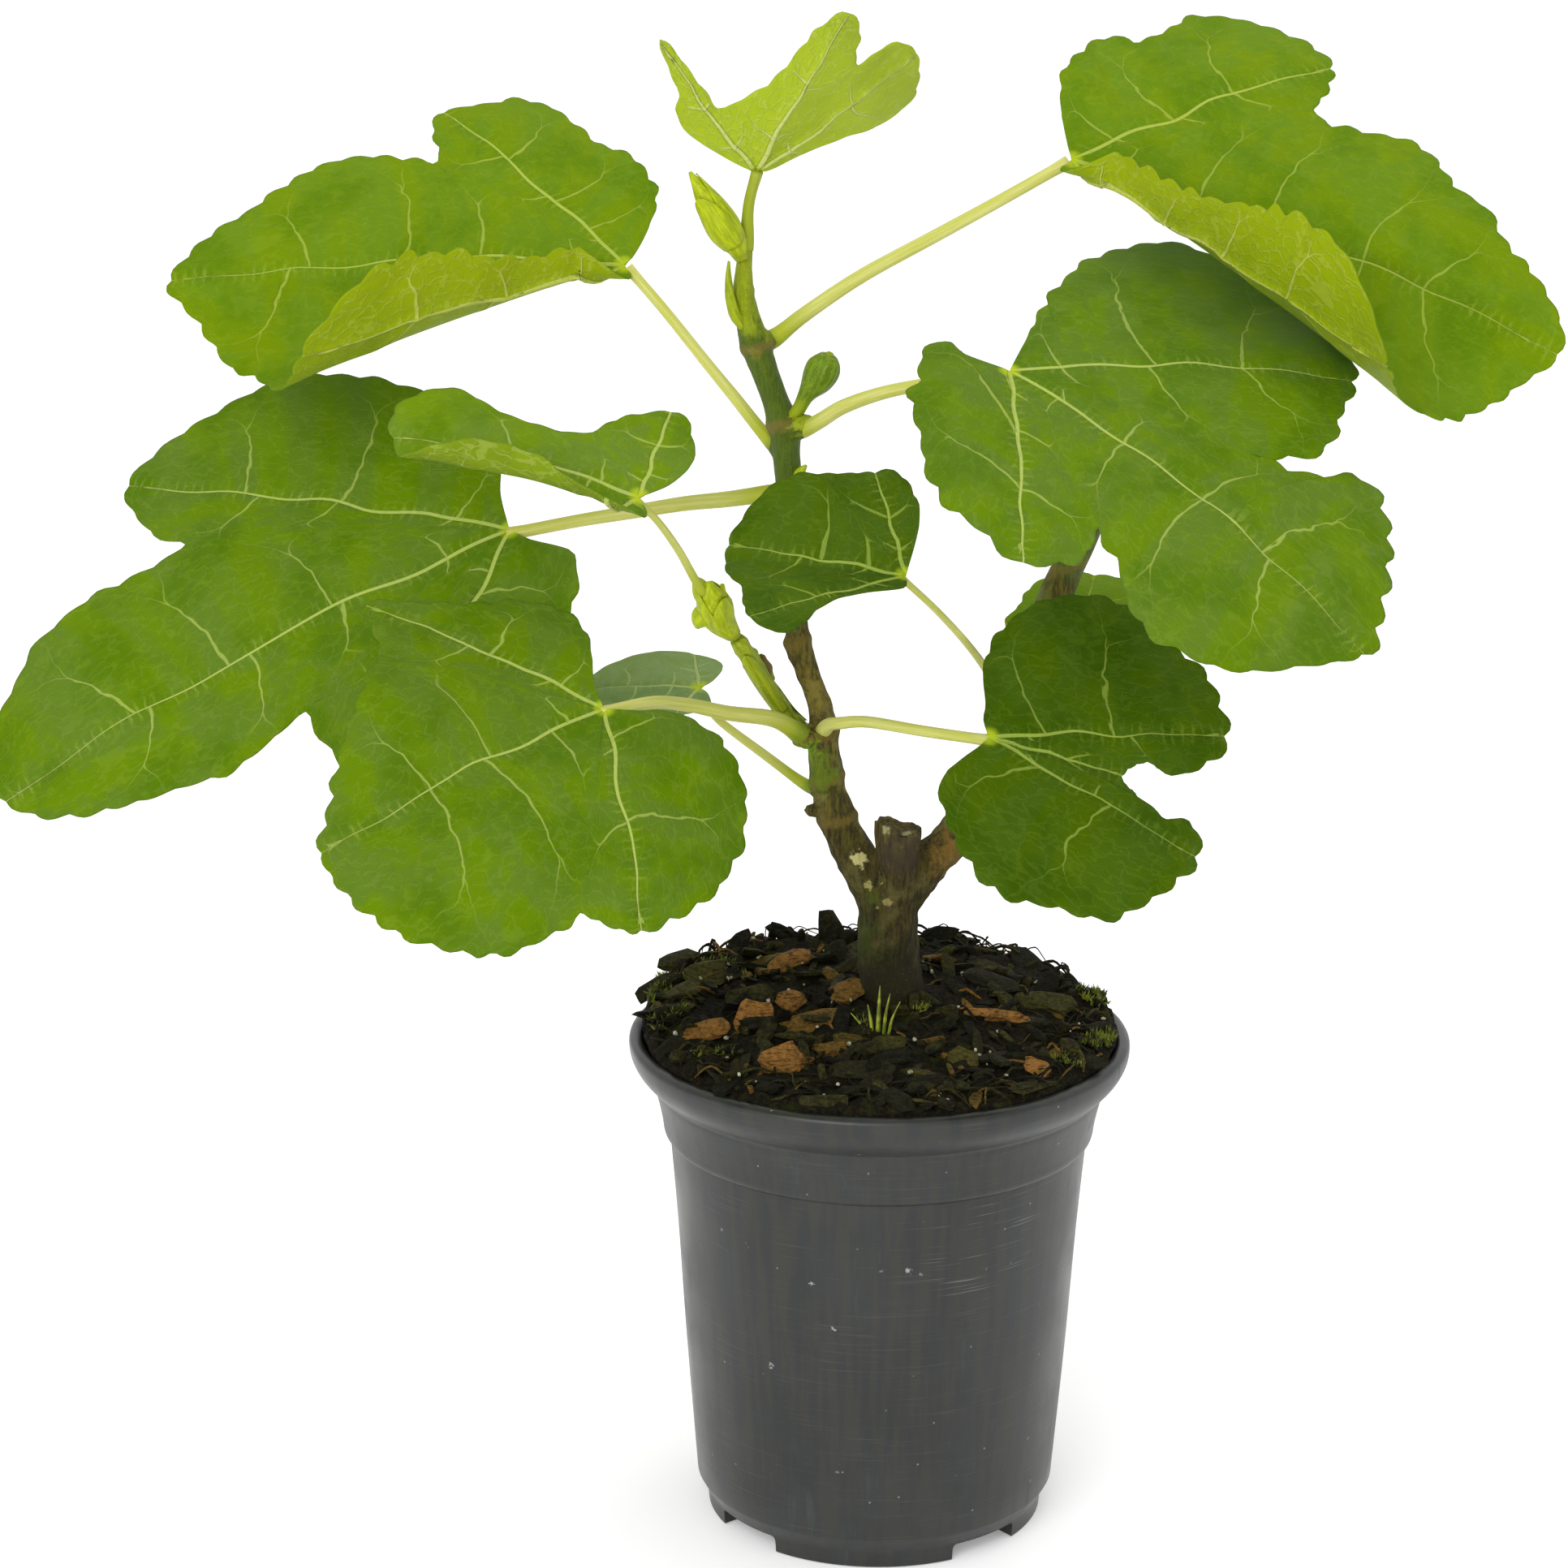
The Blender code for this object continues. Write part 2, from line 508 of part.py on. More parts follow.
def build_stem(name, material, extra=0):
    """Trunk, main shoot, second shoot and stubs as one body."""
    stem = tube(name, MAIN_SHOOT, material, resolution=2, extra=extra)
    others = [
        tube("trunk", TRUNK, steps=1, resolution=2, extra=extra),
        tube("second", SECOND_SHOOT, resolution=2, extra=extra),
        tube("stub", SAWN_STUB, steps=1, resolution=2, extra=extra),
        tube("twig", TWIG_STUB, steps=1, resolution=1, extra=extra),
    ]
    unite(stem, others)
    return stem


def seat(obj, clearance):
    """Cuts the piece back to a gap from what carries it."""
    add_boolean(obj, "DIFFERENCE", clearance)


def build_green_pieces(clearances):
    """Side shoot, buds, stipule and the young fig."""
    green = make_material("green_shoot", (0.26, 0.30, 0.05), 0.5)
    bud_green = make_material("bud_green", (0.38, 0.45, 0.03), 0.5)
    side = tube("side_shoot", SIDE_SHOOT, green)
    tube("side_bud", SIDE_BUD, bud_green)
    fig_green = make_material("fig_green", (0.16, 0.26, 0.02), 0.5)
    fig = tube("young_fig", YOUNG_FIG, fig_green, steps=3, resolution=2)
    crown = tube("crown_bud", CROWN_BUD, bud_green)
    stipule = tube("stipule", STIPULE, green)
    axil = tube("axil_bud", AXIL_BUD, bud_green)
    for piece in (side, fig, crown, stipule, axil):
        seat(piece, clearances["stem"])


# Leaves

def arc(distance, start, turn, reach):
    """(along, up) of a line that leaves at the start angle and turns evenly until its reach."""
    bent = min(distance, reach)
    rate = turn / reach
    end = start + rate * bent
    if abs(rate) < 1e-6:
        along, up = bent * math.cos(start), bent * math.sin(start)
    else:
        along, up = (math.sin(end) - math.sin(start)) / rate, (math.cos(start) - math.cos(end)) / rate
    rest = distance - bent
    return along + rest * math.cos(end), up + rest * math.sin(end)


def frame_of(leaf):
    """The blade's own axes: along the midrib, to the left, and up out of the upper side."""
    turn = Matrix.Rotation(math.radians(leaf.azimuth), 3, "Z")
    tilt = Matrix.Rotation(math.radians(-leaf.pitch), 3, "Y")
    roll = Matrix.Rotation(math.radians(leaf.roll), 3, "X")
    return turn @ tilt @ roll


def surface_point(leaf, x, y):
    """Where a point of the flat blade lies once the blade is bent and held in place."""
    fold, turn, reach = leaf.left if y >= 0 else leaf.right
    if leaf.cone and turn > CURLED:
        reach *= max(LEAST_CONE, x / leaf.cone)
    across, up = arc(abs(y), math.radians(fold), math.radians(turn), reach)
    up += leaf.ripple * smooth_step(math.hypot(x, y) / 60) * math.sin(math.atan2(y, x) * 7 + leaf.pitch)
    bend = -math.radians(leaf.droop) / leaf.length
    angle = bend * x
    if abs(bend) < 1e-6:
        along, rise = x, 0
    else:
        along, rise = math.sin(angle) / bend, (1 - math.cos(angle)) / bend
    local = Vector((along - math.sin(angle) * up, math.copysign(across, y), rise + math.cos(angle) * up))
    return Vector(leaf.joint) + frame_of(leaf) @ local


def flat(direction, distance):
    angle = math.radians(direction)
    return Vector((distance * math.cos(angle), distance * math.sin(angle)))


def resample(points, count):
    """The line cut into the given number of equal lengths."""
    lengths = [0.0]
    for a, b in zip(points, points[1:]):
        lengths.append(lengths[-1] + (b - a).length)
    result = []
    span = 0
    for i in range(count + 1):
        target = lengths[-1] * i / count
        while span < len(points) - 2 and lengths[span + 1] < target:
            span += 1
        step = lengths[span + 1] - lengths[span]
        result.append(points[span].lerp(points[span + 1], (target - lengths[span]) / step))
    return result


def line_length(points):
    return sum((b - a).length for a, b in zip(points, points[1:]))


def toothed(leaf, run, per_tooth):
    """The margin between two marked knots, resampled, with its rounded teeth raised outwards."""
    length = line_length(run)
    teeth = max(FEWEST_TEETH, round(length / TOOTH_SPACING))
    points = resample(run, teeth * per_tooth)
    tooth = leaf.tooth * min(1, length / teeth / TOOTH_SPACING)
    raised = []
    for i, point in enumerate(points):
        ahead = points[min(i + 1, len(points) - 1)] - points[max(i - 1, 0)]
        outward = Vector((-ahead.y, ahead.x)).normalized()
        calm = smooth_step((point.length - 12) / 16)
        height = tooth * calm * abs(math.sin(math.pi * i / per_tooth))
        raised.append(point + outward * height)
    return raised


def margin_runs(leaf, per_tooth):
    """The blade's margin as runs between stalk, tips and sinuses, each with the kinds at its ends."""
    marks = [(EDGE, 0, 0), *leaf.outline, (EDGE, 0, 0)]
    dense = 6
    line = spline([flat(mark[1], mark[2]) for mark in marks], dense)
    stops = [0] + [i for i, mark in enumerate(marks) if mark[0] != EDGE] + [len(marks) - 1]
    return [
        (marks[a], marks[b], toothed(leaf, line[a * dense: b * dense + 1], per_tooth))
        for a, b in zip(stops, stops[1:])
    ]


def blade_sheet(leaf, per_tooth=2):
    """The blade laid flat: each half lobe is a fan of cells from its vein to its margin."""
    bm = bmesh.new()
    known = {}

    def vert(point):
        key = (round(point.x, 3), round(point.y, 3))
        if key not in known:
            known[key] = bm.verts.new((point.x, point.y, 0))
        return known[key]

    def face(points):
        corners = []
        for point in points:
            corner = vert(point)
            if corner not in corners:
                corners.append(corner)
        if len(corners) > 2:
            bm.faces.new(corners)

    for start, end, margin in margin_runs(leaf, per_tooth):
        outwards = end[0] == TIP
        tip = flat(*(end if outwards else start)[1:3])
        run = margin if outwards else margin[::-1]
        count = len(run) - 1
        stops = [round(count * i / CELLS) for i in range(CELLS + 1)]
        roots = [tip * ROOT_SHARE * (i / CELLS) ** ROOT_POWER for i in range(CELLS + 1)]
        for i in range(CELLS):
            for ring in range(leaf.rings):
                near, far = ring / leaf.rings, (ring + 1) / leaf.rings
                a, b = (roots[i].lerp(run[stops[i]], near), roots[i + 1].lerp(run[stops[i + 1]], near))
                if ring < leaf.rings - 1:
                    outer = [roots[i + 1].lerp(run[stops[i + 1]], far), roots[i].lerp(run[stops[i]], far)]
                else:
                    outer = run[stops[i]: stops[i + 1] + 1][::-1]
                corners = [a, b, *outer]
                face(corners[::-1] if outwards else corners)
    bmesh.ops.triangulate(bm, faces=bm.faces, ngon_method="BEAUTY")
    return bm


def build_blade(leaf):
    bm = blade_sheet(leaf)
    for vert in bm.verts:
        vert.co = surface_point(leaf, vert.co.x, vert.co.y)
    blade = make_object("blade_" + leaf.name, bm, make_material("leaf_" + leaf.name, leaf.colour, 0.55))
    walls = blade.modifiers.new("Thickness", "SOLIDIFY")
    walls.thickness = BLADE_THICKNESS * MM
    walls.offset = 0
    return blade


def build_stalk(leaf, clearances):
    """The stalk, from its saddle on the stem to just under the blade, or short of a curled one."""
    base, top = (width / 2 for width in leaf.stalk_widths)
    under = BLADE_THICKNESS / 2 + GAP + top
    along = STALK_SHORT if leaf.cone else STALK_UNDER
    end = Vector(leaf.joint) + frame_of(leaf) @ Vector((along, 0, -under))
    route = [Vector(point) for point in leaf.stalk] + [end]
    knots = [
        (*point, base + (top - base) * smooth_step(i / (len(route) - 1)))
        for i, point in enumerate(route)
    ]
    stalk = tube("stalk_" + leaf.name, knots, make_material("stalk_" + leaf.name, (0.55, 0.62, 0.25), 0.45))
    seat(stalk, clearances[leaf.carrier])
    return stalk


def main():
    clear_scene()
    build_pot()
    build_mix()
    build_stem("stem", make_material("bark", (0.10, 0.085, 0.03), 0.8))
    clearances = {
        "stem": as_guide(build_stem("stem_clearance", None, extra=GAP)),
        "side_bud": as_guide(tube("side_bud_clearance", SIDE_BUD, extra=GAP)),
    }
    build_green_pieces(clearances)
    for leaf in LEAVES:
        build_blade(leaf)
        build_stalk(leaf, clearances)


main()
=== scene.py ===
"""Looks of a potted fig: a dark nursery pot of bark mix in which a young fig plant stands.

Sizes are in millimetres and angles in degrees. Places are measured from the pot's axis at the level
that its feet stand on, as in the part's source, with -Y towards the viewer. Each finished piece is
moved by PLANT_SHIFT and scaled to metres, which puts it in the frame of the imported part.
"""

from __future__ import annotations

import json
import logging
import math
import random
from bisect import bisect_left, bisect_right
from collections.abc import Callable, Iterable, Sequence
from dataclasses import dataclass, replace
from enum import Enum
from itertools import groupby

import bmesh
import bpy
from bmesh.types import BMEdge, BMesh, BMFace, BMVert
from bpy.types import Material, Node, NodeSocket, Object
from mathutils import Matrix, Vector, noise

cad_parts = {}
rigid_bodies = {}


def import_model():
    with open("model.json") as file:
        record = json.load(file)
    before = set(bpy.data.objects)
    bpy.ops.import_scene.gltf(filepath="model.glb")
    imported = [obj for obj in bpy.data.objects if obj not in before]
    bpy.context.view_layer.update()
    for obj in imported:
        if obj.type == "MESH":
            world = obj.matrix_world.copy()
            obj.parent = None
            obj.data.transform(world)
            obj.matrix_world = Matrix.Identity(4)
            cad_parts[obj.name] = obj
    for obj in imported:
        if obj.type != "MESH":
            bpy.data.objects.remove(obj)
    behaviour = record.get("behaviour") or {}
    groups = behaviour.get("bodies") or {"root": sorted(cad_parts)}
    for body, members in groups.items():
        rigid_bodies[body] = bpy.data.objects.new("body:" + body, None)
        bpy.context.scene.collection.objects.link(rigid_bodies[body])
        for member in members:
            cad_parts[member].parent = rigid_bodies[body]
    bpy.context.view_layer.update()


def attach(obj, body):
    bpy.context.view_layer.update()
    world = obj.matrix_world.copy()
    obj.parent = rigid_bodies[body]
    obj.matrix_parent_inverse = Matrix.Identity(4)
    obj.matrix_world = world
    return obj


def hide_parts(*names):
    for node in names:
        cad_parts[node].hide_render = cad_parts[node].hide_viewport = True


log = logging.getLogger("potted_fig")

MM = 0.001
PLANT_SHIFT = (29.1, 24.1)
SAME_SPOT = 0.001
THINNEST = 0.04
FULL_TURN = 2 * math.pi

Colour = tuple[float, float, float]
Point = tuple[float, ...]
Points = tuple[Point, ...]


class Side(Enum):
    """The two faces of a leaf blade."""

    UPPER = "upper"
    UNDER = "under"


class Mark(Enum):
    """What a marked knot of an outline stands for: a main vein's end or the dip between two."""

    TIP = "tip"
    SINUS = "sinus"


TIP, SINUS = Mark.TIP, Mark.SINUS


# Small sums

def smooth_step(value: float) -> float:
    """Eases a value from 0 to 1, and holds it there outside that range."""
    value = min(max(value, 0.0), 1.0)
    return value * value * (3 - 2 * value)


def bell(distance: float, width: float) -> float:
    """A bump of height 1 that fades over the given width."""
    return math.exp(-((distance / width) ** 2))


def mix(low: float, high: float, share: float) -> float:
    """The value at a share of the way from low to high."""
    return low + (high - low) * share


def read_off(values: Sequence[float], share: float) -> float:
    """The value at a share of the way through evenly spaced ones."""
    spot = min(max(share, 0.0), 1.0) * (len(values) - 1)
    i = min(int(spot), len(values) - 2)
    return mix(values[i], values[i + 1], spot - i)


def srgb(red: int, green: int, blue: int) -> Colour:
    """A display colour of 0 to 255 as the linear colour that a shader takes."""
    values = [channel / 255 for channel in (red, green, blue)]
    linear = [v / 12.92 if v <= 0.04045 else ((v + 0.055) / 1.055) ** 2.4 for v in values]
    return linear[0], linear[1], linear[2]


def dimmed(colour: Colour, share: float) -> Colour:
    """A colour with each of its channels times a share."""
    return tuple(share * channel for channel in colour)


def polar(angle: float, reach: float) -> tuple[float, float]:
    """The two distances to a place at an angle in radians and a reach."""
    return reach * math.cos(angle), reach * math.sin(angle)


def flat(direction: float, distance: float) -> Vector:
    """A place on a blade laid flat, from the stalk."""
    return Vector(polar(math.radians(direction), distance))


def turned(degrees: float, axis: str, size: int = 4) -> Matrix:
    """A turn round an axis, as a matrix of the given size."""
    return Matrix.Rotation(math.radians(degrees), size, axis)


def spline(knots: Sequence[Point | Vector], steps: int) -> list[Vector]:
    """A smooth line through knots.

    Args:
        knots: Points of any dimension, such as (x, y, z, radius).
        steps: How many steps the line takes between two knots.

    Returns:
        The points of the line, with the knots among them.
    """
    points = []
    last = len(knots) - 1
    for i in range(last):
        before, start, end, after = (Vector(knots[max(0, min(last, i + k))]) for k in (-1, 0, 1, 2))
        for step in range(steps):
            t = step / steps
            points.append(
                0.5 * (2 * start + (end - before) * t
                       + (2 * before - 5 * start + 4 * end - after) * t ** 2
                       + (3 * start - before - 3 * end + after) * t ** 3)
            )
    points.append(Vector(knots[-1]))
    return points


def points_at(line: Sequence[Vector], shares: Iterable[float]) -> list[Vector]:
    """Points of a line at rising shares of its length.

    Args:
        line: The points of the line.
        shares: Rising numbers from 0 to 1.

    Returns:
        One point for each share.
    """
    lengths = [0.0]
    for a, b in zip(line, line[1:]):
        lengths.append(lengths[-1] + (b - a).length)
    found = []
    span = 0
    for share in shares:
        target = lengths[-1] * share
        while span < len(line) - 2 and lengths[span + 1] < target:
            span += 1
        step = max(lengths[span + 1] - lengths[span], 1e-9)
        found.append(line[span].lerp(line[span + 1], (target - lengths[span]) / step))
    return found


def course(points: Sequence[Vector], i: int) -> Vector:
    """The way that a line takes at one of its points, from the point before to the one after."""
    return points[min(i + 1, len(points) - 1)] - points[max(i - 1, 0)]


def outward(points: Sequence[Vector], i: int, outwards: bool) -> Vector:
    """The direction out of a blade at a point of its rim, which may run with the outline or not."""
    ahead = course(points, i)
    return Vector((-ahead.y, ahead.x)).normalized() * (1 if outwards else -1)


def line_length(points: Sequence[Vector]) -> float:
    """The length of a line through points."""
    return sum((b - a).length for a, b in zip(points, points[1:]))


# Making pieces

def linked(name: str, data: object) -> Object:
    """A new object in the scene."""
    item = bpy.data.objects.new(name, data)
    bpy.context.scene.collection.objects.link(item)
    return item


def as_object(bm: BMesh, name: str) -> Object:
    """Makes an object of a shape as it stands, and frees the shape."""
    mesh = bpy.data.meshes.new(name)
    bm.to_mesh(mesh)
    bm.free()
    return linked(name, mesh)


def finished(bm: BMesh, name: str, materials: Sequence[Material], smooth: bool = True) -> Object:
    """Makes an object of a shape and frees the shape.

    Args:
        bm: The shape, in millimetres from the pot's axis.
        name: The piece's name.
        materials: Its materials, in the order of their slots.
        smooth: Whether its faces are shaded smooth.

    Returns:
        The object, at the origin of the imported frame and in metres.
    """
    bmesh.ops.translate(bm, vec=(*PLANT_SHIFT, 0), verts=bm.verts)
    bmesh.ops.scale(bm, vec=(MM, MM, MM), verts=bm.verts)
    piece = as_object(bm, name)
    if smooth:
        piece.data.shade_smooth()
    for material in materials:
        piece.data.materials.append(material)
    return piece


def declare(piece: Object, slot: str, *nodes: str) -> Object:
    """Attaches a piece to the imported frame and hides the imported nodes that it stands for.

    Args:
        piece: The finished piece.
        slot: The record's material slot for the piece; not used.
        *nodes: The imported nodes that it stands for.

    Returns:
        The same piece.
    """
    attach(piece, "root")
    if nodes:
        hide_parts(*nodes)
    faces, for_nodes = len(piece.data.polygons), ", ".join(nodes) or "no node"
    log.info("%s: %d faces, for %s", piece.name, faces, for_nodes)
    return piece


def add_piece(bm: BMesh, name: str, material: Material, slot: str, *nodes: str,
              smooth: bool = True) -> Object:
    return declare(finished(bm, name, [material], smooth), slot, *nodes)


def baked(piece: Object) -> None:
    """Applies a piece's modifiers to its mesh."""
    bpy.context.view_layer.update()
    graph = bpy.context.evaluated_depsgraph_get()
    mesh = bpy.data.meshes.new_from_object(piece.evaluated_get(graph))
    piece.modifiers.clear()
    piece.data = mesh


def spun(profile: Sequence[Point], sides: int) -> BMesh:
    """A closed shape turned round Z.

    Args:
        profile: (radius, height) points that start and end on the axis.
        sides: The number of steps of the turn.

    Returns:
        The shape, with its faces outwards.
    """
    bm = bmesh.new()
    ring = [bm.verts.new((radius, 0, height)) for radius, height in profile]
    lines = [bm.edges.new(pair) for pair in zip(ring, ring[1:])]
    bmesh.ops.spin(bm, geom=ring + lines, cent=(0, 0, 0), axis=(0, 0, 1), angle=FULL_TURN,
                   steps=sides, use_merge=True)
    bmesh.ops.remove_doubles(bm, verts=bm.verts, dist=SAME_SPOT)
    bmesh.ops.recalc_face_normals(bm, faces=bm.faces)
    return bm


def joined(verts: Iterable[BMVert], links: str) -> list:
    """The edges or faces at some vertices, each once and in order, by the name of the links."""
    return list(dict.fromkeys(item for vert in verts for item in getattr(vert, links)))


def carried_frames(points: Sequence[Vector]) -> list[Matrix]:
    """Frames that follow a line without twisting, each with columns across, up and along."""
    frames = []
    across = None
    for i in range(len(points)):
        along = course(points, i).normalized()
        across = along.orthogonal() if across is None else across
        across = (across - along * across.dot(along)).normalized()
        frames.append(Matrix((across, along.cross(across), along)).transposed())
    return frames


@dataclass
class Sweep:
    """A round body drawn along a route by extruding a circle from station to station.

    Its "straight" attribute holds each point's place on the body as if it were straight: two
    distances across and the distance along.
    """

    knots: Sequence[Point | Vector]
    sides: int = 16
    steps: int = 3
    shape: Callable[[float, float], float] | None = None

    def add_to(self, bm: BMesh) -> list[BMVert]:
        """Adds the body to a shape.

        Args:
            bm: The shape that takes it.

        Returns:
            The body's vertices.
        """
        layers = bm.verts.layers.float_vector
        straight = layers.get("straight") or layers.new("straight")
        stations = spline(self.knots, self.steps)
        points = [Vector(station[:3]) for station in stations]
        ring = bmesh.ops.create_circle(bm, cap_ends=False, segments=self.sides, radius=1)["verts"]
        edges = joined(ring, "link_edges")
        for vert in ring:
            vert[straight] = vert.co
        ends, verts, faces = list(edges), list(ring), []
        distance = 0.0
        for i, (station, point, frame) in enumerate(zip(stations, points, carried_frames(points))):
            if i:
                distance += (point - points[i - 1]).length
                made = bmesh.ops.extrude_edge_only(bm, edges=edges)["geom"]
                ring = [item for item in made if isinstance(item, BMVert)]
                fresh = set(ring)
                edges = [item for item in made
                         if isinstance(item, BMEdge) and fresh.issuperset(item.verts)]
                faces += [item for item in made if isinstance(item, BMFace)]
                verts += ring
            for vert in ring:
                aim = vert[straight]
                angle = math.atan2(aim.y, aim.x)
                radius = max(station[3], THINNEST)
                if self.shape:
                    radius *= self.shape(angle, distance)
                place = Vector((*polar(angle, radius), 0))
                vert.co = point + frame @ place
                vert[straight] = (place.x, place.y, distance)
        faces += bmesh.ops.holes_fill(bm, edges=ends + edges, sides=0)["faces"]
        bmesh.ops.recalc_face_normals(bm, faces=faces)
        return verts

    def build(self) -> BMesh:
        """The body as a shape of its own."""
        bm = bmesh.new()
        self.add_to(bm)
        return bm


# Finishes

class Graph:
    """The node graph of one material, with short calls for the nodes that the finishes use."""

    def __init__(self, name: str) -> None:
        """Starts an empty material of the given name."""
        self.material = bpy.data.materials.new(name)
        self.material.use_nodes = True
        self.tree = self.material.node_tree
        self.tree.nodes.clear()

    def node(self, kind: str, **settings: object) -> Node:
        """Adds a node.

        Args:
            kind: The node's type without its ShaderNode prefix.
            **settings: The node's own properties.

        Returns:
            The node.
        """
        made = self.tree.nodes.new("ShaderNode" + kind)
        for key, value in settings.items():
            setattr(made, key, value)
        return made

    def feed(self, socket: NodeSocket, value: object) -> None:
        """Links a socket to another one, or sets it to a constant."""
        if isinstance(value, NodeSocket):
            self.tree.links.new(value, socket)
        elif isinstance(value, tuple) and len(socket.default_value) == 4:
            socket.default_value = (*value[:3], 1)
        else:
            socket.default_value = value

    def math(self, operation: str, *values: NodeSocket | float, clamp: bool = False) -> NodeSocket:
        """The result of a Math node on up to three values."""
        made = self.node("Math", operation=operation, use_clamp=clamp)
        for socket, value in zip(made.inputs, values):
            self.feed(socket, value)
        return made.outputs[0]

    def times(self, *values: NodeSocket | float) -> NodeSocket:
        """The product of two values."""
        return self.math("MULTIPLY", *values)

    def plus(self, *values: NodeSocket | float) -> NodeSocket:
        """The sum of two values."""
        return self.math("ADD", *values)

    def away_from(self, value: NodeSocket, middle: NodeSocket | float) -> NodeSocket:
        """How far a value lies from a middle one, either way."""
        return self.math("ABSOLUTE", self.math("SUBTRACT", value, middle))

    def vector(self, operation: str, *values: object) -> Node:
        """A Vector Math node on the given vectors."""
        made = self.node("VectorMath", operation=operation)
        for socket, value in zip(made.inputs, values):
            self.feed(socket, value)
        return made

    def rise(self, value: NodeSocket, low: float | NodeSocket, high: float | NodeSocket,
             start: float | NodeSocket = 0.0, end: float | NodeSocket = 1.0) -> NodeSocket:
        """A smooth change from start to end as the value goes from low to high."""
        made = self.node("MapRange", interpolation_type="SMOOTHSTEP", clamp=True)
        for socket, item in zip(made.inputs, (value, low, high, start, end)):
            self.feed(socket, item)
        return made.outputs[0]

    def blend(self, share: object, low: object, high: object, how: str = "MIX") -> NodeSocket:
        """A colour between two others."""
        made = self.node("Mix", data_type="RGBA", blend_type=how, clamp_factor=True)
        self.feed(made.inputs[0], share)
        self.feed(made.inputs[6], low)
        self.feed(made.inputs[7], high)
        return made.outputs[2]

    def wash(self, low: object, high: object, value: NodeSocket, *limits: float) -> NodeSocket:
        """A colour that changes from low to high with a value, by the limits of a rise."""
        return self.blend(self.rise(value, *limits), low, high)

    def object_mm(self) -> NodeSocket:
        """Object coordinates in millimetres."""
        place = self.node("TexCoord").outputs["Object"]
        scaled = self.vector("SCALE", place)
        scaled.inputs["Scale"].default_value = 1 / MM
        return scaled.outputs[0]

    def distance(self, place: NodeSocket, spot: Point) -> NodeSocket:
        """The distance of a place in the frame from a spot that is given from the pot's axis."""
        there = (spot[0] + PLANT_SHIFT[0], spot[1] + PLANT_SHIFT[1], spot[2])
        return self.vector("DISTANCE", place, there).outputs["Value"]

    def attribute(self, name: str) -> NodeSocket:
        """The vector that a named attribute holds."""
        return self.node("Attribute", attribute_name=name).outputs["Vector"]

    def split(self, vector: NodeSocket) -> tuple[NodeSocket, NodeSocket, NodeSocket]:
        """The three numbers of a vector."""
        made = self.node("SeparateXYZ")
        self.feed(made.inputs[0], vector)
        return made.outputs[0], made.outputs[1], made.outputs[2]

    def stretched(self, vector: NodeSocket, scale: Point) -> NodeSocket:
        """A vector with each direction scaled, so that a pattern on it is stretched."""
        return self.vector("MULTIPLY", vector, scale).outputs[0]

    def noise(self, vector: NodeSocket, scale: float, detail: float = 3,
              roughness: float = 0.55) -> NodeSocket:
        """A cloudy pattern from 0 to 1."""
        made = self.node("TexNoise")
        for key, value in (("Vector", vector), ("Scale", scale), ("Detail", detail),
                           ("Roughness", roughness)):
            self.feed(made.inputs[key], value)
        return made.outputs[0]

    def cloud(self, vector: NodeSocket, scale: float) -> NodeSocket:
        """A cloudy pattern in each direction, around zero, that warps another pattern."""
        made = self.node("TexNoise")
        self.feed(made.inputs["Vector"], vector)
        made.inputs["Scale"].default_value = scale
        return self.vector("SUBTRACT", made.outputs["Color"], (0.5, 0.5, 0.5)).outputs[0]

    def cells(self, vector: NodeSocket, scale: float, feature: str = "F1") -> Node:
        """A Voronoi node of cells of the given scale."""
        made = self.node("TexVoronoi", feature=feature)
        self.feed(made.inputs["Vector"], vector)
        made.inputs["Scale"].default_value = scale
        return made

    def bumps(self, *layers: tuple[NodeSocket, float]) -> NodeSocket:
        """A normal bumped by layers, each with its height and its reach in millimetres."""
        normal = None
        for height, distance in layers:
            made = self.node("Bump")
            self.feed(made.inputs["Height"], height)
            made.inputs["Distance"].default_value = distance * MM
            if normal is not None:
                self.feed(made.inputs["Normal"], normal)
            normal = made.outputs[0]
        return normal

    def surface(self, colour: object, roughness: object, normal: NodeSocket | None = None,
                **constants: float) -> NodeSocket:
        """A Principled shader.

        Args:
            colour: Its base colour, a socket or a linear colour.
            roughness: Its roughness, a socket or a number.
            normal: A bumped normal.
            **constants: Other inputs by name, with _ for a space.

        Returns:
            The shader's output.
        """
        shader = self.node("BsdfPrincipled")
        self.feed(shader.inputs["Base Color"], colour)
        self.feed(shader.inputs["Roughness"], roughness)
        if normal is not None:
            self.feed(shader.inputs["Normal"], normal)
        for key, value in constants.items():
            shader.inputs[key.replace("_", " ")].default_value = value
        return shader.outputs[0]

    def done(self, shader: NodeSocket, through: object = None, share: float = 0) -> Material:
        """Ends the graph.

        Args:
            shader: The shader of the surface.
            through: A colour of light that shines through the surface, if any does.
            share: How much of the surface lets light through.

        Returns:
            The material.
        """
        output = self.node("OutputMaterial")
        if through is not None:
            lit = self.node("BsdfTranslucent")
            self.feed(lit.inputs["Color"], through)
            both = self.node("MixShader")
            both.inputs[0].default_value = share
            self.feed(both.inputs[1], shader)
            self.feed(both.inputs[2], lit.outputs[0])
            shader = both.outputs[0]
        self.feed(output.inputs["Surface"], shader)
        return self.material


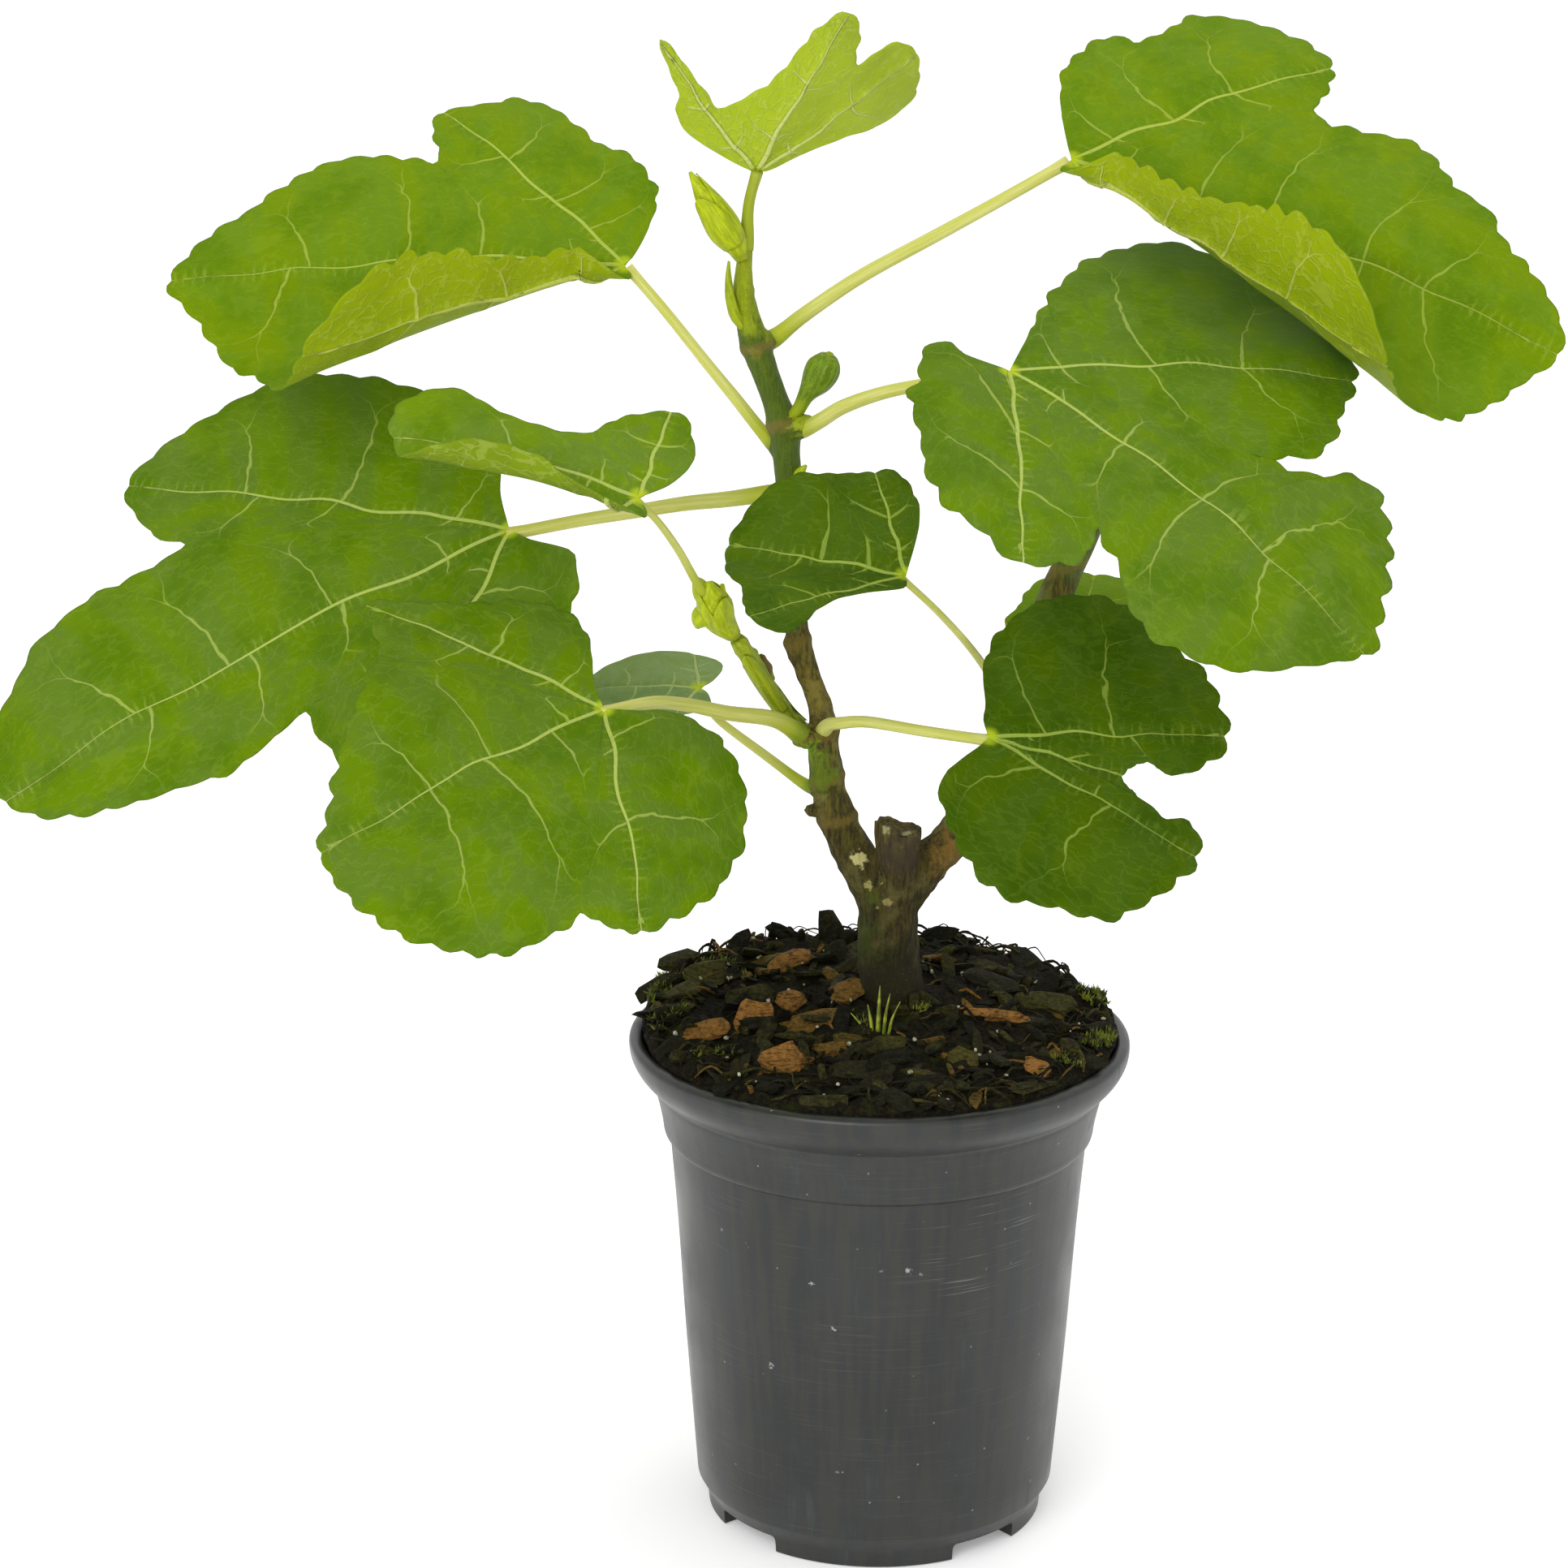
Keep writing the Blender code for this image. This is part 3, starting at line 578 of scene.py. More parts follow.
@dataclass(frozen=True)
class LeafFinish:
    """The green of one leaf: its upper side with painted sheen, its underside, its veins and the
    light through it.
    """

    blade: Colour
    deep: Colour
    # A greyish painted sheen, laid in patches over the upper side
    painted_sheen: Colour
    vein: Colour
    under: Colour
    under_vein: Colour
    through: Colour
    glow: float = 0.3
    roughness: float = 0.5
    gloss: float = 0.04
    heart: Colour = srgb(196, 214, 40)
    comb: float = 2.6

    def material(self, name: str, side: Side, length: float) -> Material:
        """The material of one side of a blade.

        Args:
            name: The leaf's name.
            side: The side that it is for.
            length: The blade's length, over which its veins grow thinner.

        Returns:
            The material.
        """
        graph = Graph(f"leaf_{name}_{side.value}")
        upper = side is Side.UPPER
        sheet = graph.node("UVMap", uv_map="sheet").outputs[0]
        web = graph.node("UVMap", uv_map="veins").outputs[0]
        veins, outward, _ = graph.split(web)
        from_main, spacing, _ = graph.split(graph.node("UVMap", uv_map="ribs").outputs[0])
        along = graph.vector("LENGTH", sheet).outputs["Value"]
        clouds = graph.noise(sheet, 0.045, 3)
        mottle = graph.noise(sheet, 0.32, 4, 0.65)
        grain = graph.noise(sheet, 1.9, 3, 0.6)

        reach = graph.math("DIVIDE", along, length, clamp=True)
        half = graph.rise(reach, 0.0, 0.85, 0.42, 0.05)
        main = graph.rise(from_main, half, graph.plus(half, 0.28), 1, 0)
        kinks = graph.times(graph.math("SUBTRACT", graph.noise(sheet, 0.16, 1), 0.5), 0.1)
        from_side = graph.plus(graph.plus(veins, 0.5), kinks)
        from_side = graph.away_from(graph.math("FRACT", from_side), 0.5)
        from_side = graph.math("SUBTRACT", from_side, graph.rise(outward, 0.62, 1.1, 0, 0.3))
        from_side = graph.times(graph.math("ABSOLUTE", from_side), spacing)
        thin = graph.rise(outward, 0.0, 0.9, 0.24, 0.0)
        line = graph.rise(from_side, thin, graph.plus(thin, 0.28), 1, 0)
        line = graph.times(line, graph.rise(outward, 0.5, 0.97, 1, 0.1))
        steps = graph.math("MULTIPLY_ADD", mottle, 1.2, graph.math("DIVIDE", along, self.comb))
        comb = graph.away_from(graph.math("FRACT", steps), 0.5)
        comb = graph.rise(comb, 0.05, 0.18, 1, 0)
        comb = graph.times(comb, graph.rise(from_main, 0.3, 4.2, 1, 0))
        comb = graph.times(comb, graph.rise(graph.noise(sheet, 0.12, 2), 0.35, 0.65, 0.02, 0.24))

        ladder = graph.vector("ADD", graph.node("UVMap", uv_map="ladder").outputs[0],
                              graph.stretched(graph.cloud(sheet, 0.3), (1.3, 1.3, 0))).outputs[0]
        edge = graph.cells(ladder, 1.0, "DISTANCE_TO_EDGE").outputs["Distance"]
        net = graph.rise(edge, 0.02, 0.09, 1, 0)

        ground = self.blade if upper else self.under
        dark = self.deep if upper else dimmed(self.under, 0.8)
        pale = self.vein if upper else self.under_vein
        # Patches of painted greyish sheen between the side veins of the upper side, in place of a
        # glossier shader
        sheen_panels = graph.vector("ADD", graph.stretched(web, (0.85, 0.9, 0)),
                              graph.stretched(sheet, (0.02, 0.02, 0))).outputs[0]
        sheen_panels = graph.noise(sheen_panels, 1.6, 3, 0.5)
        colour = graph.wash(self.painted_sheen if upper else ground, ground, sheen_panels, 0.42, 0.6)
        colour = graph.wash(colour, dark, clouds, 0.36, 0.56, 0.75, 0)
        colour = graph.wash(colour, dimmed(ground, 1.2), mottle, 0.4, 0.72, 0, 0.25)
        colour = graph.wash(colour, dark, grain, 0.4, 0.75, 0, 0.22)
        colour = graph.blend(graph.times(net, 0.06 if upper else 0.22), colour, pale)
        colour = graph.blend(comb, colour, pale)
        colour = graph.blend(graph.times(line, 0.55 if upper else 0.75), colour, pale)
        colour = graph.blend(graph.times(main, graph.rise(reach, 0.6, 1.0, 0.9, 0.6)), colour, pale)
        colour = graph.wash(colour, self.heart, along, 0.8, 3.4, 0.9, 0)

        raised = graph.math("MULTIPLY_ADD", main, 1.5, graph.times(line, 0.9))
        raised = graph.math("MULTIPLY_ADD", net, 0.4, raised)
        raised = graph.math("MULTIPLY_ADD", grain, 0.5, raised)
        normal = graph.bumps((raised, -0.15 if upper else 0.3))
        roughness = graph.rise(mottle, 0.25, 0.75, self.roughness - 0.06, self.roughness + 0.1)
        gloss, sheen = (self.gloss, 0.02) if upper else (0.08, 0.05)
        shader = graph.surface(colour, roughness, normal, Specular_IOR_Level=gloss,
                               Sheen_Weight=sheen, Sheen_Roughness=0.5)
        veined = graph.math("MAXIMUM", main, line)
        lit = graph.blend(veined, self.through, dimmed(self.through, 0.8))
        return graph.done(shader, lit, self.glow)


@dataclass(frozen=True)
class StalkFinish:
    """Pale, faintly streaked skin of a leaf stalk, yellow-green at first and green at its root."""

    skin: Colour = srgb(204, 204, 122)
    shade: Colour = srgb(188, 190, 82)
    young: Colour = srgb(160, 170, 20)
    root: Colour = srgb(110, 130, 8)
    root_length: float = 6
    young_length: float = 20
    roughness: float = 0.42

    def material(self, name: str) -> Material:
        """The material of a stalk, read along its length."""
        graph = Graph("stalk_" + name)
        straight = graph.attribute("straight")
        _, _, along = graph.split(straight)
        streaks = graph.noise(graph.stretched(straight, (1.6, 1.6, 0.07)), 1.0, 3)
        colour = graph.wash(self.shade, self.skin, streaks, 0.35, 0.7)
        young = graph.rise(along, 0.3 * self.young_length, self.young_length, 0.95, 0)
        colour = graph.blend(young, colour, self.young)
        rooted = graph.rise(along, 0.4 * self.root_length, self.root_length, 0.9, 0)
        colour = graph.blend(rooted, colour, self.root)
        freckles = graph.noise(straight, 1.4, 2)
        colour = graph.wash(colour, self.shade, freckles, 0.62, 0.75, 0, 0.25)
        normal = graph.bumps((streaks, 0.12), (graph.noise(straight, 4.0, 2), 0.05))
        roughness = graph.rise(streaks, 0.3, 0.7, self.roughness - 0.05, self.roughness + 0.12)
        shader = graph.surface(colour, roughness, normal, Specular_IOR_Level=0.3, Sheen_Weight=0.04)
        return graph.done(shader, self.skin, 0.1)


@dataclass(frozen=True)
class ShootFinish:
    """Soft green skin of a bud, a sheath or a young fruit, with paler flecks."""

    skin: Colour
    shade: Colour
    fleck: Colour
    fleck_size: float = 0.9
    roughness: float = 0.45
    root: Colour = srgb(144, 156, 4)
    root_length: float = 3

    def material(self, name: str) -> Material:
        """The material of a bud or fruit, read along its length."""
        graph = Graph(name)
        straight = graph.attribute("straight")
        _, _, along = graph.split(straight)
        streaks = graph.noise(graph.stretched(straight, (1.3, 1.3, 0.16)), 1.0, 4)
        colour = graph.wash(self.shade, self.skin, streaks, 0.34, 0.68)
        rooted = graph.rise(along, 0.5 * self.root_length, self.root_length, 0.85, 0)
        colour = graph.blend(rooted, colour, self.root)
        spots = graph.cells(straight, 1 / self.fleck_size).outputs["Distance"]
        spot = graph.rise(spots, 0.1, 0.28, 1, 0)
        colour = graph.blend(graph.times(spot, 0.5), colour, self.fleck)
        normal = graph.bumps((streaks, 0.18), (spot, 0.05))
        roughness = graph.rise(streaks, 0.3, 0.7, self.roughness - 0.06, self.roughness + 0.12)
        shader = graph.surface(colour, roughness, normal, Specular_IOR_Level=0.25,
                               Sheen_Weight=0.04)
        return graph.done(shader, self.skin, 0.12)


@dataclass(frozen=True)
class BarkMark:
    """A scar or patch on the bark, at a place measured from the pot's axis."""

    place: Point
    size: float
    colour: Colour
    strength: float = 0.85
    softness: float = 0.35


@dataclass(frozen=True)
class BarkFinish:
    """Bark that goes from dark and mossy at the soil through brown to a green young shoot, with
    painted shade over its lower part.
    """

    foot: Colour = srgb(56, 60, 22)
    brown: Colour = srgb(116, 102, 38)
    grey: Colour = srgb(138, 128, 74)
    dark: Colour = srgb(60, 52, 24)
    green: Colour = srgb(82, 104, 0)
    fresh: Colour = srgb(146, 162, 0)
    olive: Colour = srgb(96, 102, 28)
    ring: Colour = srgb(116, 98, 40)
    # Painted shade: below shaded_to the bark's colour is multiplied by this grey, easing to a tenth
    # of that darkening above lit_from
    painted_shade: Colour = (0.38, 0.38, 0.36)
    shaded_to: float = 162
    lit_from: float = 212
    ring_tilt: float = 0.25
    foot_top: float = 158
    brown_top: float = 236
    green_from: float = 264
    fresh_from: float = 312

    def material(self, marks: Sequence[BarkMark], nodes: Sequence[Point]) -> Material:
        """The material of the woody stem.

        Args:
            marks: Scars and patches on the bark.
            nodes: The main shoot's nodes, as (height, width of the ridge, how far it stands out).

        Returns:
            The material, read in object coordinates.
        """
        graph = Graph("fig_bark")
        place = graph.object_mm()
        sideways, _, height = graph.split(place)
        tilted = graph.times(graph.math("SUBTRACT", sideways, PLANT_SHIFT[0]), self.ring_tilt)
        tilted = graph.math("SUBTRACT", height, tilted)
        patches = graph.noise(place, 0.16, 4, 0.6)
        height = graph.plus(height, graph.rise(patches, 0.2, 0.8, -9, 9))
        fibres = graph.noise(graph.stretched(place, (1.1, 1.1, 0.16)), 1.0, 5, 0.65)
        grain = graph.noise(place, 1.3, 4, 0.65)
        bark = graph.wash(self.dark, self.brown, fibres, 0.36, 0.66)
        bark = graph.wash(bark, self.grey, patches, 0.5, 0.72, 0, 0.7)
        bark = graph.wash(bark, self.olive, grain, 0.5, 0.75, 0, 0.5)
        foot = graph.wash(self.dark, self.foot, grain, 0.4, 0.65)
        shoot = graph.wash(dimmed(self.green, 0.7), self.green, fibres, 0.35, 0.68)
        fresh = graph.wash(dimmed(self.fresh, 0.75), self.fresh, fibres, 0.35, 0.68)
        colour = graph.wash(foot, bark, height, self.foot_top - 12, self.foot_top + 8)
        green = graph.rise(height, self.brown_top, self.green_from)
        colour = graph.blend(green, colour, shoot)
        colour = graph.wash(colour, fresh, height, self.fresh_from - 6, self.fresh_from + 8)
        pores = graph.cells(graph.stretched(place, (0.42, 0.42, 0.8)), 1.0)
        pore = graph.rise(pores.outputs["Distance"], 0.08, 0.2, 1, 0)
        colour = graph.blend(graph.times(pore, 0.3), colour, self.grey)
        # Painted shade, which darkens the lower stem
        painted_shade = graph.rise(height, self.shaded_to, self.lit_from, 1, 0.1)
        colour = graph.blend(painted_shade, colour, self.painted_shade, "MULTIPLY")
        ragged = graph.noise(place, 0.55, 4, 0.65)
        for level, width, _ in nodes:
            if level > self.fresh_from:
                continue
            away = graph.away_from(tilted, level * (1 + 0.12 * self.ring_tilt))
            away = graph.plus(away, graph.rise(ragged, 0.25, 0.75, -0.5 * width, 0.5 * width))
            colour = graph.wash(colour, self.ring, away, 0.4 * width, 1.6 * width, 0.6, 0)
        for mark in marks:
            uneven = graph.rise(ragged, 0.25, 0.75, -mark.size / 2, mark.size / 2)
            away = graph.plus(graph.distance(place, mark.place), uneven)
            soft = mark.size * (1 - mark.softness)
            colour = graph.wash(colour, mark.colour, away, soft, mark.size, mark.strength, 0)
        normal = graph.bumps((fibres, 0.9), (grain, 0.3))
        roughness = graph.rise(green, 0, 1, 0.85, 0.5)
        return graph.done(graph.surface(colour, roughness, normal, Specular_IOR_Level=0.25))


@dataclass(frozen=True)
class PlasticFinish:
    """Dark grey moulded plastic with faint water marks, dust specks and a few scuffs."""

    plastic: Colour = srgb(25, 28, 28)
    worn: Colour = srgb(34, 37, 37)
    nick: Colour = srgb(12, 12, 12)
    dust: Colour = srgb(170, 172, 166)
    earth: Colour = srgb(110, 96, 56)
    roughness: float = 0.34

    def material(self, flecks: Sequence[Point], nicks: Sequence[Point], scuff: Point) -> Material:
        """The material of the pot.

        Args:
            flecks: White specks as (x, y, z, size), from the pot's axis.
            nicks: Dark nicks, likewise.
            scuff: The middle and reach of the scuffed place, likewise.

        Returns:
            The material, read in object coordinates.
        """
        graph = Graph("pot_plastic")
        place = graph.object_mm()
        _, _, height = graph.split(place)
        clouds = graph.noise(place, 0.03, 4, 0.6)
        grain = graph.noise(place, 0.9, 4, 0.65)
        streaks = graph.noise(graph.stretched(place, (0.3, 0.3, 0.018)), 1.0, 4, 0.6)
        lines = graph.noise(graph.stretched(place, (0.05, 0.05, 2.4)), 1.0, 3, 0.5)
        colour = graph.wash(self.plastic, self.worn, clouds, 0.35, 0.7)
        marks = graph.times(graph.rise(streaks, 0.55, 0.75), graph.rise(clouds, 0.45, 0.65))
        colour = graph.blend(graph.times(marks, 0.05), colour, self.dust)
        colour = graph.blend(graph.times(graph.rise(streaks, 0.6, 0.42), 0.05), colour, self.earth)
        drops = graph.cells(graph.stretched(place, (0.1, 0.1, 0.14)), 1.0)
        near = graph.plus(drops.outputs["Distance"], graph.rise(grain, 0.2, 0.8, -0.06, 0.06))
        chance = graph.split(drops.outputs["Color"])[0]
        drop = graph.times(graph.rise(near, 0.03, 0.075, 1, 0), graph.rise(chance, 0.78, 0.82))
        colour = graph.blend(graph.times(drop, 0.3), colour, self.dust)
        specks = graph.cells(place, 0.42)
        speck = graph.times(graph.rise(specks.outputs["Distance"], 0.08, 0.14, 1, 0),
                           graph.rise(graph.split(specks.outputs["Color"])[1], 0.93, 0.95))
        colour = graph.blend(graph.times(speck, 0.4), colour, self.dust)
        spots = [(fleck, self.dust) for fleck in flecks] + [(nick, self.nick) for nick in nicks]
        for (*spot, size), tone in spots:
            away = graph.plus(graph.distance(place, spot), graph.rise(grain, 0.3, 0.7, -0.5, 0.5))
            colour = graph.wash(colour, tone, away, 0.5 * size, size, 0.65, 0)
        strength = graph.rise(graph.distance(place, scuff), 0.5 * scuff[3], scuff[3], 0.3, 0.04)
        worn = graph.times(graph.rise(lines, 0.58, 0.74), strength)
        colour = graph.blend(worn, colour, self.dust)
        rough = graph.rise(clouds, 0.3, 0.7, self.roughness - 0.04, self.roughness + 0.1)
        rough = graph.plus(rough, graph.times(graph.math("MAXIMUM", drop, marks), 0.2))
        normal = graph.bumps((lines, 0.03), (graph.noise(place, 1.4, 3), 0.03))
        return graph.done(graph.surface(colour, rough, normal, Specular_IOR_Level=0.45))


@dataclass(frozen=True)
class MixFinish:
    """Moist bark mix: near black crumbs with brown fibres and patches of green film."""

    crumb: Colour = srgb(16, 16, 9)
    brown: Colour = srgb(42, 35, 18)
    moss: Colour = srgb(50, 56, 12)

    def material(self) -> Material:
        """The material of the mix, read in object coordinates."""
        graph = Graph("bark_mix_crumbs")
        place = graph.object_mm()
        grain = graph.noise(place, 0.8, 5, 0.7)
        lumps = graph.cells(place, 0.55)
        colour = graph.wash(self.crumb, self.brown, grain, 0.42, 0.66)
        shade = graph.split(lumps.outputs["Color"])[0]
        colour = graph.wash(colour, self.crumb, shade, 0.4, 1, 0, 0.55)
        film = graph.noise(place, 0.11, 4, 0.6)
        colour = graph.wash(colour, self.moss, film, 0.56, 0.7, 0, 0.6)
        normal = graph.bumps((lumps.outputs["Distance"], -0.7), (grain, 0.6))
        return graph.done(graph.surface(colour, 0.88, normal, Specular_IOR_Level=0.1))


@dataclass(frozen=True)
class ChipFinish:
    """Bark chips, each in its own tone from near black to orange brown, layered on their sides."""

    tones: tuple[Colour, ...] = (
        srgb(16, 16, 8), srgb(38, 36, 17), srgb(68, 66, 24), srgb(112, 82, 34), srgb(154, 106, 52),
    )

    def material(self, name: str) -> Material:
        """The material of chips or fibres whose "tone" attribute picks the colour."""
        graph = Graph(name)
        place = graph.object_mm()
        tone = graph.node("Attribute", attribute_name="tone").outputs["Fac"]
        grain = graph.noise(place, 0.9, 5, 0.68)
        tone = graph.math("ADD", tone, graph.rise(grain, 0.25, 0.75, -0.16, 0.16), clamp=True)
        ramp = graph.node("ValToRGB")
        graph.feed(ramp.inputs[0], tone)
        stops = ramp.color_ramp.elements
        while len(stops) < len(self.tones):
            stops.new(0.5)
        for i, colour in enumerate(self.tones):
            stops[i].position = i / (len(self.tones) - 1)
            stops[i].color = (*colour, 1)
        layers = graph.noise(graph.stretched(place, (0.5, 0.5, 2.2)), 1.0, 4, 0.6)
        colour = graph.wash(ramp.outputs[0], self.tones[0], layers, 0.5, 0.68, 0, 0.75)
        pits = graph.noise(place, 0.42, 4, 0.7)
        colour = graph.wash(colour, self.tones[1], pits, 0.5, 0.66, 0, 0.6)
        normal = graph.bumps((layers, 0.7), (grain, 0.5))
        return graph.done(graph.surface(colour, 0.75, normal, Specular_IOR_Level=0.12))


@dataclass(frozen=True)
class TwoToneFinish:
    """A small growth or crumb with a patchy colour, such as moss, grit or a grass sprig."""

    light: Colour
    dark: Colour
    grain: float = 0.7
    roughness: float = 0.7

    def material(self, name: str) -> Material:
        """The material, read in object coordinates."""
        graph = Graph(name)
        place = graph.object_mm()
        patches = graph.noise(place, self.grain, 3, 0.6)
        colour = graph.wash(self.dark, self.light, patches, 0.38, 0.66)
        normal = graph.bumps((patches, 0.2))
        rough = graph.rise(patches, 0.3, 0.7, self.roughness - 0.08, self.roughness + 0.08)
        return graph.done(graph.surface(colour, rough, normal, Specular_IOR_Level=0.35))


# The pot

@dataclass
class NurseryPot:
    """The moulded pot: rolled lip, collar, tapering wall and a raised floor on four feet."""

    outside: Points = (
        (63.6, 131), (64.7, 130.3), (65, 129), (64.6, 126.4), (63.2, 123.6), (61, 121), (58.9, 119),
        (58.5, 117.5), (57.4, 113.5), (56.4, 108.7), (55.9, 105.6), (54.4, 104.2), (52.3, 79),
        (50.2, 47), (47.2, 9), (45.3, 5.6), (44.6, 4), (44.2, 0),
    )
    inside: Points = (
        (62.2, 131), (61.3, 130.2), (60.6, 128.3), (59.2, 124.5), (57.6, 120.5), (57, 117.5),
        (55.9, 113.5), (54.9, 108.7), (54.2, 106), (52.9, 103.6), (48.7, 47), (45.7, 10), (45, 7.5),
    )
    sides: int = 144
    floor_top: float = 7.5
    floor_bottom: float = 5.5
    foot_inside: float = 39.4
    # A gap between two feet as (distance from the axis, depth, width, height)
    foot_gap: Point = (43, 14, 21, 4.4)
    gap_bevel: float = 1.2
    foot_turn: float = 40
    # The drain holes as (distance from the axis, radius, number)
    drain: tuple[float, float, int] = (28, 4, 6)
    sharp_from: float = 38
    # White specks, dark nicks and the scuffed place, as (x, y, z, size)
    flecks: Points = (
        (-35.6, -41, 106, 0.9), (-17.4, -51.4, 109.4, 0.7), (2.5, -54.3, 107.3, 1.1),
        (9.7, -55.5, 116, 1.2), (7, -53.3, 86, 1.3), (-17.6, -50, 81, 0.9),
        (-11.9, -50.4, 69.3, 0.7), (-27.8, -42.8, 55.7, 0.8), (34, -43, 88, 0.7), (24, 47, 92, 0.9),
        (-41, 31, 70, 0.8),
    )
    nicks: Points = ((44.5, -22.8, 39.7, 1.5), (46.5, -31, 96, 0.9), (-20, -44, 40, 0.8))
    scuff: Point = (27, -46, 90, 19)
    finish: PlasticFinish = PlasticFinish()

    def profile(self) -> list[Point]:
        """The pot's section from the axis over the lip to the axis again, with rounded bends."""
        rounded = spline(self.outside[:12], 3)[:-1] + spline(self.outside[11:15], 4)[:-1]
        rounded += spline(self.outside[14:], 3)
        wall = [(point[0], point[1]) for point in rounded]
        lining = [(point[0], point[1]) for point in reversed(spline(self.inside, 2))]
        foot, under = self.foot_inside, self.floor_bottom
        return [(0, self.floor_top), *lining, *wall, (foot, 0), (foot, under), (0, under)]

    def cutters(self) -> Object:
        """The blocks and pegs that open the gaps between the feet and the drain holes."""
        bm = bmesh.new()
        middle, depth, width, height = self.foot_gap
        for i in range(4):
            turn = turned(self.foot_turn + 90 * i, "Z")
            block = bmesh.ops.create_cube(
                bm, size=1, matrix=turn @ Matrix.Translation((middle, 0, 0))
                @ Matrix.Diagonal((depth, width, 2 * height, 1)))
            bmesh.ops.bevel(bm, geom=joined(block["verts"], "link_edges"), offset=self.gap_bevel,
                            segments=3, affect="EDGES", profile=0.5, material=-1)
        circle, radius, count = self.drain
        for i in range(count):
            place = Matrix.Translation((circle, 0, self.floor_bottom))
            bmesh.ops.create_cone(bm, cap_ends=True, segments=32, radius1=radius, radius2=radius,
                                  depth=2 * self.floor_bottom,
                                  matrix=turned(360 / count * i, "Z") @ place)
        return finished(bm, "pot_cutters", [])

    def build(self) -> Object:
        pot = finished(spun(self.profile(), self.sides), "moulded_pot",
                       [self.finish.material(self.flecks, self.nicks, self.scuff)])
        cutter = self.cutters()
        cut = pot.modifiers.new("Openings", "BOOLEAN")
        cut.operation = "DIFFERENCE"
        cut.object = cutter
        baked(pot)
        bpy.data.objects.remove(cutter)
        pot.data.set_sharp_from_angle(angle=math.radians(self.sharp_from))
        return declare(pot, "dark_plastic", "pot")


# The potting mix

@dataclass
class PottingMix:
    """A rough mound of bark mix with chips, fibres, moss, grit and a grass sprig on it."""

    front: float = 132.6
    rise: float = 8
    mound: float = 5.5
    mound_reach: float = 30
    lean: float = 1.5
    reach: float = 50
    lump: float = 2
    shoulder: float = 4
    edge: float = 61.6
    # The side of the mix along the pot's wall, as (radius, height)
    side: Points = (
        (59.4, 126.5), (57.2, 120.5), (54.4, 108.4), (52.4, 103.6), (48.3, 47), (45.3, 10.5),
        (44.6, 7.8),
    )
    rings: int = 46
    sides: int = 132
    trunk: Point = (3, 0)
    clear_of_trunk: float = 11
    chip_count: int = 420
    large_chips: float = 0.26
    bright_from: float = 0.92
    fibre_count: int = 300
    fibre_limit: float = 60.5
    cover_reach: float = 60
    grit_count: int = 80
    grit_reach: float = 59
    seed: int = 7
    finish: MixFinish = MixFinish()
    chip_finish: ChipFinish = ChipFinish()

    # Moss as (x, y, spread, tufts), and the sprig's blades as (across, lean, height, width)
    moss: Points = (
        (-57, 15, 9, 26), (-55, -4, 6, 14), (57.5, 14, 6, 22), (56, -14, 7, 18), (-44, 24, 8, 10),
        (8, -9, 5, 10), (46, -28, 7, 8), (-8, -14, 6, 6), (-40, -28, 7, 5),
    )
    sprig: Points = (
        (0, 0.4, 13, 0.75), (1.4, 1.6, 11, 0.6), (-1.5, -1.2, 8, 0.6), (2.6, 3, 9, 0.5),
        (-3, -4, 6, 0.5),
    )
    # The chips that stand out in front, as (x, y, length, width, depth, turn, tilt, tone)
    shown_chips: Points = (
        (-45, -16, 11, 6.5, 3, 12, 30, 0.86), (-32.5, -12, 8, 9.5, 3.6, -18, 58, 1.0),
        (-23, -5.5, 7, 6, 4, 20, 30, 0.88), (-18.5, -14, 14, 6, 2.6, 14, 22, 0.72),
        (-25, -35, 9.5, 8, 4, 30, 45, 0.9), (-8, -3, 9, 7, 3, 35, 35, 0.74),
        (-23, 22, 13, 5, 2.6, 28, 25, 0.84), (26.4, -8.5, 20, 3.6, 2.4, -10, 18, 0.9),
        (38.6, -35, 7, 5, 2.6, -35, 35, 0.92), (-45, 15, 10, 7, 3, 18, 38, 0.46),
        (-51, 5, 10, 5, 2.6, 30, 20, 0.45), (2, -26, 9, 6, 2.4, 20, 22, 0.42),
        (-5, -42, 15, 6, 3, -8, 20, 0.22), (-11.5, -26, 9, 4, 2.2, 8, 28, 0.7),
        (20.5, -31, 8, 6, 3, -15, 25, 0.5), (-52, 30, 12, 6, 3, 25, 22, 0.35),
        (30, 12, 14, 6, 3, -25, 15, 0.12), (44, 2, 12, 7, 3, -12, 20, 0.4),
        (14, -48, 13, 4, 2.4, -5, 15, 0.28), (-34, 2, 12, 5, 3, 10, 25, 0.36),
    )

    def height(self, x: float, y: float) -> float:
        """The mix's height at a place, as in the part's source."""
        back = min(max((y + self.reach) / (2 * self.reach), 0), 1)
        mound = self.mound * math.exp(-((x - self.trunk[0]) ** 2 + y ** 2) / self.mound_reach ** 2)
        left = self.lean * min(max(-x / self.reach, -1), 1)
        lump = self.lump * noise.noise(Vector((x / 9, y / 9, 4)))
        shoulder = self.shoulder * back * smooth_step((math.hypot(x, y) - self.reach) / 10)
        return self.front + self.rise * smooth_step(back) + mound + left * back + lump - shoulder

    def from_trunk(self, x: float, y: float) -> float:
        """How far a place is from the middle of the trunk."""
        return math.hypot(x - self.trunk[0], y - self.trunk[1])

    def crumbs(self, x: float, y: float) -> float:
        """The small lumps on top of the mix's height."""
        coarse = noise.noise(Vector((x / 3.1, y / 3.1, 9)))
        fine = noise.noise(Vector((x / 1.2, y / 1.2, 2)))
        return 1.1 * coarse + 0.5 * fine

